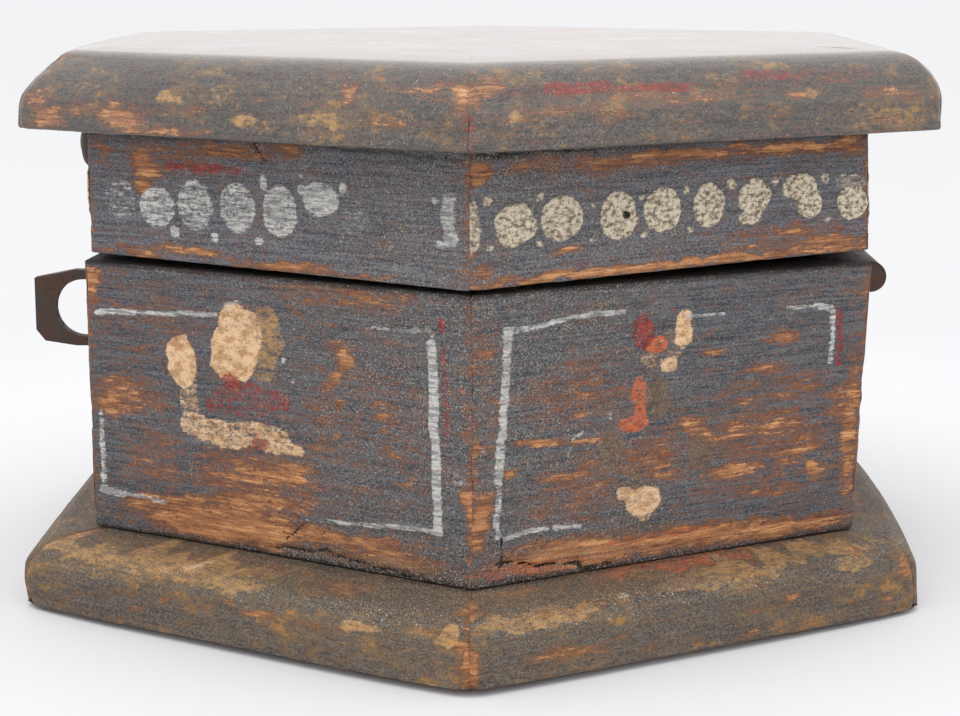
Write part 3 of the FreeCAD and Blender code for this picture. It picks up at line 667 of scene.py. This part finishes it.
def dust_level(kind, points, z, seed):
    """How thick the pale dust lies: most near the front corner and where the wall meets the foot."""
    front = np.exp(-((np.hypot(points[:, 0], points[:, 1] + FLAT) / 26) ** 2))
    level = 0.2 + 0.6 * front + 0.5 * (noise(points, (9, 9, 6), seed + 8) - 0.5)
    if kind == "lid":
        level -= 0.3
    if kind == "foot":
        level -= 0.2 * ramp(z, 7.5, 6.5)
        level += 0.5 * ramp(z, FOOT_NOSE, WALL_LOW - 0.6)
    if kind == "wall":
        level += 0.5 * front * ramp(z, 14, WALL_LOW) + 0.3 * ramp(z, 11, WALL_LOW)
    return level


def painted_shade_level(points, z, painted_shade, seed):
    """Painted shade: dark bands near given heights, where parts meet and under overhangs. They are a list of
    (height, reach, strength).
    """
    level = np.zeros(len(z))
    for height, reach, strength in painted_shade:
        level = np.maximum(level, strength * np.exp(-((np.abs(z - height) / reach) ** 1.4)))
    return level * (0.55 + 0.9 * noise(points, (5, 5, 1.5), seed + 6))


def piece(name, points, faces, coats, levels, grain):
    """A mesh object with its coats as material slots and its levels as attributes."""
    mesh = bpy.data.meshes.new(name)
    mesh.from_pydata((points / MM).tolist(), [], faces)
    mesh.polygons.foreach_set("material_index", coats)
    mesh.polygons.foreach_set("use_smooth", np.ones(len(faces), bool))
    for channel, level in levels.items():
        attribute = mesh.attributes.new(channel, "FLOAT", "POINT")
        attribute.data.foreach_set("value", level.astype(np.float32))
    attribute = mesh.attributes.new("grain", "FLOAT_VECTOR", "POINT")
    attribute.data.foreach_set("vector", grain.astype(np.float32).ravel())
    mesh.update()
    mesh.set_sharp_from_angle(angle=math.radians(48))
    obj = bpy.data.objects.new(name, mesh)
    bpy.context.scene.collection.objects.link(obj)
    return obj


def finished(obj, materials, body, node):
    """Gives a piece its materials and its body, and hides the CAD node it stands for."""
    for material in materials:
        obj.data.materials.append(material)
    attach(obj, body)
    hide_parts(node)
    return obj


# ---------------------------------------------------------------- materials


def linear(red, green, blue):
    """A colour given as it looks on a screen, from 0 to 255."""
    values = [v / 255 for v in (red, green, blue)]
    return tuple(v / 12.92 if v <= 0.04045 else ((v + 0.055) / 1.055) ** 2.4 for v in values) + (1.0,)


class Shade:
    """A material with one Principled shader, and short ways to add nodes. Its lengths are millimetres."""

    def __init__(self, name, metallic=0.0, specular=0.35):
        self.material = bpy.data.materials.new(name)
        self.material.use_nodes = True
        self.tree = self.material.node_tree
        self.tree.nodes.clear()
        self.shader = self.node("BsdfPrincipled")
        self.shader.inputs["Metallic"].default_value = metallic
        self.shader.inputs["Specular IOR Level"].default_value = specular
        self.node("OutputMaterial", self.shader.outputs[0])

    def put(self, socket, value):
        if isinstance(value, bpy.types.NodeSocket):
            self.tree.links.new(value, socket)
        else:
            socket.default_value = value

    def node(self, kind, *values, **settings):
        """A new node, with its settings and with values or links for its first sockets."""
        node = self.tree.nodes.new("ShaderNode" + kind)
        for name, setting in settings.items():
            setattr(node, name, setting)
        for socket, value in zip(node.inputs, values):
            self.put(socket, value)
        return node

    def level(self, name):
        """A level of the boards, such as how worn they are."""
        return self.node("Attribute", attribute_name=name).outputs["Fac"]

    def grain(self):
        """Where a point is on a board, in millimetres, with the wood's grain along the first axis."""
        return self.node("Attribute", attribute_name="grain").outputs["Vector"]

    def place(self):
        """Where a point is on the object, in millimetres, for a piece without a grain attribute."""
        return self.vector("MULTIPLY", self.node("TexCoord").outputs["Object"], (MM, MM, MM))

    def vector(self, operation, a, b):
        return self.node("VectorMath", a, b, operation=operation).outputs[0]

    def maths(self, operation, a, b=0.0, c=0.0):
        return self.node("Math", a, b, c, operation=operation).outputs[0]

    def noise(self, at, size, detail=3.0, rough=0.55, shift=0.0):
        """Noise from about 0.25 to 0.75, whose lumps are size across on each axis."""
        node = self.node("TexNoise")
        place = self.vector("MULTIPLY", at, tuple(1.0 / v for v in size))
        self.put(node.inputs["Vector"], self.vector("ADD", place, (shift, shift * 1.7, -shift)))
        node.inputs["Scale"].default_value = 1.0
        node.inputs["Detail"].default_value = detail
        node.inputs["Roughness"].default_value = rough
        return node.outputs["Fac"]

    def distance(self, at):
        """How far a place is from the frame's zero, in millimetres."""
        return self.node("VectorMath", at, operation="LENGTH").outputs["Value"]

    def specks(self, at, cell, radius, share, shift=0.0):
        """Sharp specks of dust: a few of the cells have one."""
        node = self.node("TexVoronoi")
        place = self.vector("MULTIPLY", at, tuple(1.0 / v for v in cell))
        self.put(node.inputs["Vector"], self.vector("ADD", place, (shift, -shift, shift * 1.3)))
        node.inputs["Scale"].default_value = 1.0
        split = self.node("SeparateColor", node.outputs["Color"])
        limit = self.maths("MULTIPLY", split.outputs[1], radius)
        near = self.ramp(self.maths("SUBTRACT", node.outputs["Distance"], limit), 0.06, -0.02)
        chosen = self.maths("LESS_THAN", split.outputs[0], share)
        return self.maths("MULTIPLY", near, chosen)

    def ramp(self, value, low, high, to_low=0.0, to_high=1.0):
        """A smooth step of a value, from to_low at low to to_high at high."""
        limits = (low, high, to_low, to_high)
        return self.node("MapRange", value, *limits, interpolation_type="SMOOTHSTEP").outputs[0]

    def mix(self, share, a, b):
        """Colour a, with a share of colour b."""
        node = self.node("Mix", share, data_type="RGBA")
        self.put(node.inputs[6], a)
        self.put(node.inputs[7], b)
        return node.outputs[2]

    def mark(self, level, broken, spread=1.5, soft=0.3):
        """How much of a mark is left, from its level and a broken-up noise."""
        rough = self.maths("MULTIPLY_ADD", self.maths("SUBTRACT", broken, 0.5), spread, level)
        return self.ramp(rough, 0.0, soft)

    def finish(self, colour, roughness, height, depth):
        """Sets colour and roughness, and a bump of a height from 0 to 1 that is depth deep."""
        self.put(self.shader.inputs["Base Color"], colour)
        self.put(self.shader.inputs["Roughness"], roughness)
        bump = self.node("Bump")
        bump.inputs["Strength"].default_value = 1.0
        bump.inputs["Distance"].default_value = depth / MM
        self.put(bump.inputs["Height"], height)
        self.put(self.shader.inputs["Normal"], bump.outputs[0])
        return self.material


def bare_wood(m, at, dark=(93, 61, 46), middle=(163, 110, 72), light=(214, 158, 108)):
    """The colour of old softwood with its grain along the first axis."""
    lines = m.noise(at, (14, 0.9, 0.4), 4, 0.6, 3.1)
    fine = m.noise(at, (2.0, 0.3, 0.14), 3, 0.65, 8.4)
    wide = m.noise(at, (4.5, 1.3, 0.9), 3, 0.6, 17.0)
    share = m.maths("ADD", m.maths("MULTIPLY", lines, 0.3), m.maths("MULTIPLY", fine, 0.35))
    share = m.maths("MULTIPLY_ADD", wide, 0.35, share)
    colour = m.mix(m.ramp(share, 0.38, 0.5), linear(*dark), linear(*middle))
    return m.mix(m.ramp(share, 0.49, 0.62), colour, linear(*light)), share


def dusty(m, at, colour, dust):
    """Fine pale grit and dark pores over a colour. dust is a level or a number from 0 to 1."""
    grain = m.noise(at, (0.15, 0.15, 0.15), 1, 0.5)
    bunch = m.noise(at, (1.6, 1.0, 0.8), 4, 0.72, 5.0)
    much = m.maths("MULTIPLY_ADD", m.maths("SUBTRACT", bunch, 0.5), 3.2, dust)
    grit = m.maths("MULTIPLY", m.ramp(grain, 0.53, 0.67), m.ramp(much, 0.0, 1.3))
    dots = m.maths("MULTIPLY", m.specks(at, (0.4, 0.4, 0.4), 0.22, 0.3, 5.0), m.ramp(much, 0.2, 1.0))
    pores = m.noise(at, (0.34, 0.24, 0.2), 3, 0.7, 11.0)
    colour = m.mix(m.ramp(pores, 0.54, 0.68, 0.0, 0.62), colour, linear(30, 26, 26))
    colour = m.mix(m.maths("MULTIPLY", grit, 0.75), colour, linear(182, 172, 158))
    colour = m.mix(m.maths("MULTIPLY", dots, 0.75), colour, linear(214, 208, 198))
    return colour, m.maths("MAXIMUM", grit, dots)


# Channel, colour where it is thick, colour where it is thin, how broken it is, how opaque, and its grain
INKS = (
    ("ochre", (196, 150, 92), (138, 106, 72), 2.4, 0.8, (1.4, 0.9, 0.7)),
    ("brown", (118, 94, 72), (84, 68, 56), 2.2, 0.75, (0.9, 0.6, 0.5)),
    ("orange", (204, 106, 60), (142, 70, 46), 2.8, 0.88, (1.2, 0.6, 0.5)),
    ("buff", (228, 192, 152), (186, 142, 100), 3.2, 0.94, (1.5, 1.0, 0.8)),
    ("red", (152, 44, 38), (92, 42, 38), 3.4, 0.85, (0.7, 0.6, 0.5)),
    ("white", (212, 210, 204), (138, 138, 140), 3.8, 0.88, (2.2, 0.5, 0.3)),
    ("cream", (218, 204, 178), (112, 98, 82), 2.0, 0.94, (0.6, 0.5, 0.45)),
)


def painted(name, dark, light, warm, streaks=1.0, stain=(124, 76, 52), gloss=0.0, patches=0.0):
    """Old distemper over bare wood, with brushed ornament, worn places, painted shade at the joins and dust.
    """
    m = Shade(name, specular=0.3)
    m.shader.inputs["Coat Weight"].default_value = gloss
    m.shader.inputs["Coat Roughness"].default_value = 0.22
    at = m.grain()
    brush = m.noise(at, (9, 0.8, 0.3), 4, 0.7)
    cloud = m.noise(at, (8, 5, 3.5), 4, 0.6, 2.0)
    blot = m.noise(at, (2.0, 1.1, 0.8), 4, 0.72, 15.0)
    fine = m.noise(at, (0.28, 0.24, 0.2), 2, 0.6, 4.0)
    broken = m.noise(at, (1.5, 0.45, 0.3), 5, 0.78, 6.0)
    lumpy = m.noise(at, (4.5, 1.6, 1.0), 3, 0.6, 21.0)
    speck = m.noise(at, (0.45, 0.4, 0.36), 3, 0.8, 9.0)

    tone = m.maths("ADD", m.maths("MULTIPLY", brush, 0.5 * streaks), m.maths("MULTIPLY", fine, 0.5))
    middle = 0.25 * streaks + 0.25
    coat = m.mix(m.ramp(tone, middle - 0.13, middle + 0.13), linear(*dark), linear(*light))
    hue = m.maths("ADD", m.maths("MULTIPLY", cloud, 0.4), m.maths("MULTIPLY", blot, 0.6))
    coat = m.mix(m.ramp(hue, 0.5, 0.62, 0.0, 0.7), coat, linear(*warm))
    if patches:
        round_blot = m.noise(at, (2.2, 1.6, 1.3), 5, 0.75, 31.0)
        mottle = m.maths("MULTIPLY_ADD", cloud, 0.7, m.maths("MULTIPLY", round_blot, 0.9))
        mottle = m.maths("MULTIPLY_ADD", speck, 0.35, mottle)
        other = m.maths("MULTIPLY_ADD", speck, 0.5, m.noise(at, (3.0, 2.2, 1.8), 5, 0.7, 47.0))
        coat = m.mix(m.ramp(other, 0.78, 0.9, 0.0, 0.7), coat, linear(86, 76, 70))
        coat = m.mix(m.ramp(mottle, 0.98, 1.1, 0.0, patches), coat, linear(118, 96, 68))
        coat = m.mix(m.ramp(mottle, 1.08, 1.18, 0.0, patches), coat, linear(172, 120, 62))
        coat = m.mix(m.ramp(other, 0.88, 0.98, 0.0, patches), coat, linear(124, 74, 52))

    wood, lines = bare_wood(m, at)
    rough = m.maths("ADD", m.maths("MULTIPLY", broken, 0.45), m.maths("MULTIPLY", lines, 0.25))
    rough = m.maths("MULTIPLY_ADD", lumpy, 0.3, rough)
    wear = m.maths("MULTIPLY_ADD", m.maths("SUBTRACT", rough, 0.5), 6.5, m.level("worn"))
    wear = m.maths("MULTIPLY_ADD", m.maths("SUBTRACT", speck, 0.5), 1.6, wear)
    thin = m.ramp(wear, -0.6, 0.2, 0.0, 0.85)
    bare = m.ramp(wear, 0.0, 0.55)
    colour = m.mix(thin, coat, linear(*stain))
    colour = m.mix(bare, colour, wood)

    left = {}
    for n, (channel, thick, weak, spread, opaque, size) in enumerate(INKS):
        own = m.maths("ADD", m.maths("MULTIPLY", speck, 0.45), m.maths("MULTIPLY", broken, 0.55))
        left[channel] = m.mark(m.level(channel), own, spread, 0.5)
        shade = m.noise(at, size, 4, 0.7, 12.0 + n)
        ink = m.mix(m.ramp(shade, 0.38, 0.58), linear(*weak), linear(*thick))
        colour = m.mix(m.maths("MULTIPLY", left[channel], opaque), colour, ink)

    # painted shade: the dark bands at the joins darken the colour, broken up by the blot noise
    painted_shade_share = m.ramp(m.maths("MULTIPLY_ADD", blot, 0.9, m.level("painted_shade")), 0.7, 1.5, 0.0, 0.85)
    colour = m.mix(painted_shade_share, colour, linear(34, 27, 24))
    split = m.mark(m.level("crack"), fine, 1.2, 0.4)
    colour = m.mix(split, colour, linear(20, 15, 12))
    colour, pale = dusty(m, at, colour, m.maths("MULTIPLY_ADD", bare, -0.5, m.level("dust")))

    height = m.maths("MULTIPLY", fine, 0.6)
    height = m.maths("MULTIPLY_ADD", bare, -0.3, height)
    for channel in ("cream", "buff", "white"):
        height = m.maths("MULTIPLY_ADD", left[channel], 0.4, height)
    height = m.maths("MULTIPLY_ADD", split, -1.5, height)
    height = m.maths("MULTIPLY_ADD", pale, 0.5, height)
    return m.finish(colour, m.ramp(tone, middle - 0.1, middle + 0.1, 0.74, 0.6), height, 0.1)


def lid_top(name):
    """Smooth varnished paint on top of the lid, with faded flowers."""
    m = Shade(name, specular=0.5)
    m.shader.inputs["Coat Weight"].default_value = 0.85
    m.shader.inputs["Coat Roughness"].default_value = 0.22
    at = m.grain()
    cloud = m.noise(at, (9, 9, 9), 4, 0.6, 2.0)
    broken = m.noise(at, (1.3, 1.3, 1.3), 5, 0.75, 6.0)
    fine = m.noise(at, (0.6, 0.6, 0.6), 4, 0.7, 4.0)
    colour = m.mix(m.ramp(cloud, 0.3, 0.7), linear(92, 78, 76), linear(146, 118, 108))
    colour = m.mix(m.ramp(fine, 0.42, 0.62, 0.0, 0.6), colour, linear(70, 62, 62))
    colour = m.mix(m.ramp(broken, 0.52, 0.66, 0.0, 0.6), colour, linear(124, 80, 60))
    for channel, ink in (("orange", (206, 138, 104)), ("red", (176, 84, 72)), ("buff", (214, 190, 150))):
        left = m.mark(m.level(channel), broken, 2.0, 0.5)
        colour = m.mix(m.maths("MULTIPLY", left, 0.7), colour, linear(*ink))
    colour, _ = dusty(m, at, colour, 0.2)
    return m.finish(colour, m.ramp(cloud, 0.3, 0.7, 0.3, 0.45), broken, 0.02)


def raw_wood(name):
    """Unpainted old wood inside the box, browned and a little dirty."""
    m = Shade(name, specular=0.3)
    at = m.grain()
    wood, lines = bare_wood(m, at, (78, 52, 38), (124, 88, 62), (166, 122, 88))
    cloud = m.noise(at, (11, 9, 8), 4, 0.6, 1.0)
    colour = m.mix(m.ramp(cloud, 0.42, 0.7, 0.0, 0.6), wood, linear(72, 52, 42))
    colour, pale = dusty(m, at, colour, 0.1)
    return m.finish(colour, m.ramp(cloud, 0.3, 0.7, 0.62, 0.8), m.maths("ADD", lines, pale), 0.1)


def iron(name, rust=0.5):
    """Dark forged iron with brown rust."""
    m = Shade(name, metallic=0.55, specular=0.4)
    at = m.place()
    cloud = m.noise(at, (2.2, 2.2, 2.2), 5, 0.65)
    pits = m.noise(at, (0.5, 0.5, 0.5), 3, 0.7, 5.0)
    colour = m.mix(m.ramp(cloud, rust - 0.12, rust + 0.2), linear(72, 64, 60), linear(102, 78, 66))
    colour = m.mix(m.ramp(pits, 0.55, 0.75, 0.0, 0.8), colour, linear(42, 36, 33))
    return m.finish(colour, m.ramp(cloud, 0.35, 0.65, 0.42, 0.78), pits, 0.12)


# ---------------------------------------------------------------- the box

# Corner radius, wear at the corner, bands of painted shade as (height, reach, strength), and highest relief
# The painted shade lies where the wall meets the foot, in the gap under the lid, under the lid's overhang,
# and as a painted contact shadow along the foot's bottom edge.
WALL_LOOK = (CORNER_R, 0.35, [(WALL_LOW, 0.9, 1.1), (WALL_TOP, 0.5, 1.5)], 0.1)
RIM_LOOK = (CORNER_R, 0.35, [(LID_UNDER, 1.4, 1.1), (LID_LOW, 0.5, 0.6)], 0.1)
FOOT_LOOK = (3.5, 0.4, [(WALL_LOW, 0.06, 0.6), (0.0, 0.35, 1.2)], 0.0)
LID_LOOK = (1.6, 0.3, [(LID_UNDER, 0.7, 0.7)], 0.0)


def build_sides(coats):
    """The four boards of each side: foot, wall, lid wall and lid moulding."""
    for k, side in enumerate(SIDES):
        rng = np.random.default_rng(100 + k)
        step = FINE if side.startswith("front") else MEDIUM
        wall, rim = other_wall(rng), other_rim(rng)
        if side == "front_left":
            wall, rim = front_left_wall(), front_left_rim()
        if side == "front_right":
            wall, rim = front_right_wall(), front_right_rim()
        boards = (
            ("wall", board_outline(WALL_LOW, WALL_TOP, step), wall, WALL_LOOK, "box", "box_wall"),
            ("rim", board_outline(LID_LOW, LID_UNDER, step), rim, RIM_LOOK, "lid", "lid_wall"),
            ("foot", foot_outline(step), foot_marks(side, rng), FOOT_LOOK, "box", "foot_moulding"),
            ("lid", lid_outline(step), lid_nose_marks(side, rng), LID_LOOK, "lid", "lid_moulding"),
        )
        for n, (kind, outline, marks, look, body, node) in enumerate(boards):
            obj = board(kind, k, outline, marks, look, step, 40 * k + 7 * n)
            materials = [coats[kind], coats["raw"]] + ([coats["top"]] if kind == "lid" else [])
            finished(obj, materials, body, f"{node}_{side}")


def panel(name, low, high, corner_r, seed, top_marks, coats, body, node):
    """A six-sided panel. Its top is a fine mesh, with marks given as (x, y) on it."""
    step = 0.9
    rings = round(corner_r / step)
    points, faces = [[0.0, 0.0, high]], []
    for ring in range(1, rings + 1):
        for corner in range(6):
            for part in range(ring):
                a0 = math.radians(corner * 60 - 90)
                a1 = a0 + TURN
                r = corner_r * ring / rings
                t = part / ring
                points.append([r * ((1 - t) * math.cos(a0) + t * math.cos(a1)),
                               r * ((1 - t) * math.sin(a0) + t * math.sin(a1)), high])

    def at(ring, place):
        return 0 if ring == 0 else 1 + 3 * ring * (ring - 1) + place % (6 * ring)

    for ring in range(1, rings + 1):
        for corner in range(6):
            for part in range(ring):
                outer = corner * ring + part
                inner = corner * (ring - 1) + part
                faces.append([at(ring, outer), at(ring, outer + 1), at(ring - 1, inner)])
                if part < ring - 1:
                    faces.append([at(ring, outer + 1), at(ring - 1, inner + 1), at(ring - 1, inner)])
    top = len(points)
    edge = [at(rings, n) for n in range(6 * rings)]
    points += [[points[n][0], points[n][1], low] for n in edge]
    count = len(edge)
    faces += [[top + n, top + (n + 1) % count, edge[(n + 1) % count], edge[n]] for n in range(count)]
    sides_from = len(faces) - count
    faces.append([top + n for n in range(count)][::-1])
    points = np.array(points)
    s, z = points[:, 0], points[:, 1]
    levels = mark_levels(top_marks, s, z)
    points[:top, 2] -= 0.12 * noise(points[:top], 12.0, seed) * ramp(np.hypot(s, z)[:top], corner_r * 0.86, 0)
    coats_of = np.array([PAINT] * sides_from + [RAW] * (count + 1), np.int32)
    levels["painted_shade"] = np.zeros(len(points))
    levels["dust"] = np.full(len(points), 0.3)
    obj = piece(name, points, faces, coats_of, levels, np.stack([s + 40, z + 60, points[:, 2]], axis=1))
    return finished(obj, coats, body, node)


def lid_top_marks():
    """A faded flower with six petals, and a few worn places."""
    rng = np.random.default_rng(5)
    found = []
    for petal in range(6):
        a = math.radians(60 * petal)
        x, y = 21 * math.cos(a), 21 * math.sin(a)
        found.append(blob("orange", x, y, 9, 5, 0.1, math.degrees(a)))
        found.append(blob("red", 0.6 * x, 0.6 * y, 4, 2, 0.0, math.degrees(a)))
    found.append(blob("buff", 0, 0, 4.5, 4.5, -0.1))
    for _ in range(16):
        x, y = rng.uniform(-32, 32), rng.uniform(-32, 32)
        found.append(worn(x, y, rng.uniform(1, 5), rng.uniform(0.5, 2), 0.2))
    return found


def build_panels(coats):
    inner_corner = INSIDE / math.cos(TURN / 2)
    panel("lid_board", PANEL_LOW, LID_TOP, inner_corner, 300, lid_top_marks(), [coats["top"], coats["raw"]],
          "lid", "lid_panel")
    panel("floor_board", 0.0, FLOOR_TOP, inner_corner, 310, [], [coats["raw"], coats["raw"]],
          "box", "floor_panel")


def dress_iron(coats):
    """The iron parts keep their CAD shape."""
    for node in ("hinge_leaf_box", "hinge_leaf_lid", "hinge_pin", "hinge_nails_box", "hinge_nails_lid",
                 "latch_eye", "latch_hook", "hook_pivot_nail", "foot_nails"):
        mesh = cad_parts[node].data
        mesh.materials.clear()
        mesh.materials.append(coats["latch"] if node.startswith(("latch", "hook")) else coats["hinge"])


# ---------------------------------------------------------------- studio
# Places and sizes here are in metres, as Blender takes them, and only the reach of the painted light on the
# paper is in millimetres.

CAMERA_AT = (0.0050, -0.26327, 0.07365)
CAMERA_DOWN, CAMERA_TURN = 10.7787, 1.09  # degrees
LENS = 80.37
WORLD_LIGHT = 1.2
LAMPS = (("key", (-0.30, -0.40, 0.75), 0.6, 0.9), ("fill", (0.60, -0.45, 0.35), 0.5, 0.3))  # size, power
LAMPS_AIM = (0, 0, 0.03)
FLOOR_REACH = 6.0
PAPER, PAPER_CLOUD, PAPER_PAINTED_LIGHT = (0.735, 0.735, 0.755, 1), (0.745, 0.745, 0.765, 1), (0.86, 0.86, 0.885, 1)
PAINTED_LIGHT_REACH = (55, 190)  # painted light: the paper is painted brighter within the first distance of the box's middle, where the box shades it


def build_studio():
    scene = bpy.context.scene
    scene.view_settings.view_transform = "Standard"
    camera = bpy.data.cameras.new("camera")
    camera.lens, camera.sensor_width = LENS, 36.0
    camera.clip_start, camera.clip_end = 0.01, 20.0
    eye = bpy.data.objects.new("camera", camera)
    eye.location = CAMERA_AT
    eye.rotation_euler = (math.radians(90 - CAMERA_DOWN), 0.0, math.radians(CAMERA_TURN))
    scene.collection.objects.link(eye)
    scene.camera = eye

    world = bpy.data.worlds.new("studio")
    world.use_nodes = True
    background = world.node_tree.nodes["Background"]
    background.inputs["Color"].default_value = (1.0, 1.0, 1.0, 1.0)
    background.inputs["Strength"].default_value = WORLD_LIGHT
    scene.world = world
    for name, place, size, power in LAMPS:
        lamp(name, place, size, power)

    mesh = bpy.data.meshes.new("floor")
    far = FLOOR_REACH
    mesh.from_pydata([(-far, -far, 0), (far, -far, 0), (far, far, 0), (-far, far, 0)], [], [(0, 1, 2, 3)])
    floor = bpy.data.objects.new("floor", mesh)
    scene.collection.objects.link(floor)
    m = Shade("floor_white", specular=0.0)
    at = m.place()
    cloud = m.noise(at, (160, 160, 160), 2)
    paper = m.mix(cloud, PAPER, PAPER_CLOUD)
    # painted light: near is the share of brighter paper close to the box, against the box's shade on it
    near = m.ramp(m.distance(at), *PAINTED_LIGHT_REACH, 1.0, 0.0)
    mesh.materials.append(m.finish(m.mix(near, paper, PAPER_PAINTED_LIGHT), 0.9, cloud, 0.01))


def lamp(name, place, size, power):
    light = bpy.data.lights.new(name, "AREA")
    light.size, light.energy = size, power
    obj = bpy.data.objects.new(name, light)
    obj.location = place
    aim = np.array(LAMPS_AIM) - np.array(place)
    tilt = math.acos(-aim[2] / np.linalg.norm(aim))
    obj.rotation_euler = (tilt, 0.0, math.atan2(aim[1], aim[0]) - math.pi / 2)
    bpy.context.scene.collection.objects.link(obj)


def main():
    coats = {
        "wall": painted("wall_paint", (50, 53, 59), (104, 105, 109), (100, 82, 74)),
        "rim": painted("rim_paint", (60, 61, 67), (116, 117, 123), (102, 84, 76)),
        "foot": painted("foot_paint", (58, 53, 50), (116, 105, 93), (124, 98, 70),
                        streaks=0.5, stain=(124, 84, 54), patches=0.75),
        "lid": painted("lid_edge_paint", (48, 47, 48), (98, 90, 83), (116, 92, 70),
                       streaks=0.5, stain=(120, 76, 54), gloss=1.0, patches=0.75),
        "top": lid_top("lid_top_paint"),
        "raw": raw_wood("raw_wood"),
        "hinge": iron("hinge_iron", 0.46),
        "latch": iron("latch_iron", 0.5),
    }
    build_sides(coats)
    build_panels(coats)
    dress_iron(coats)
    build_studio()


main()
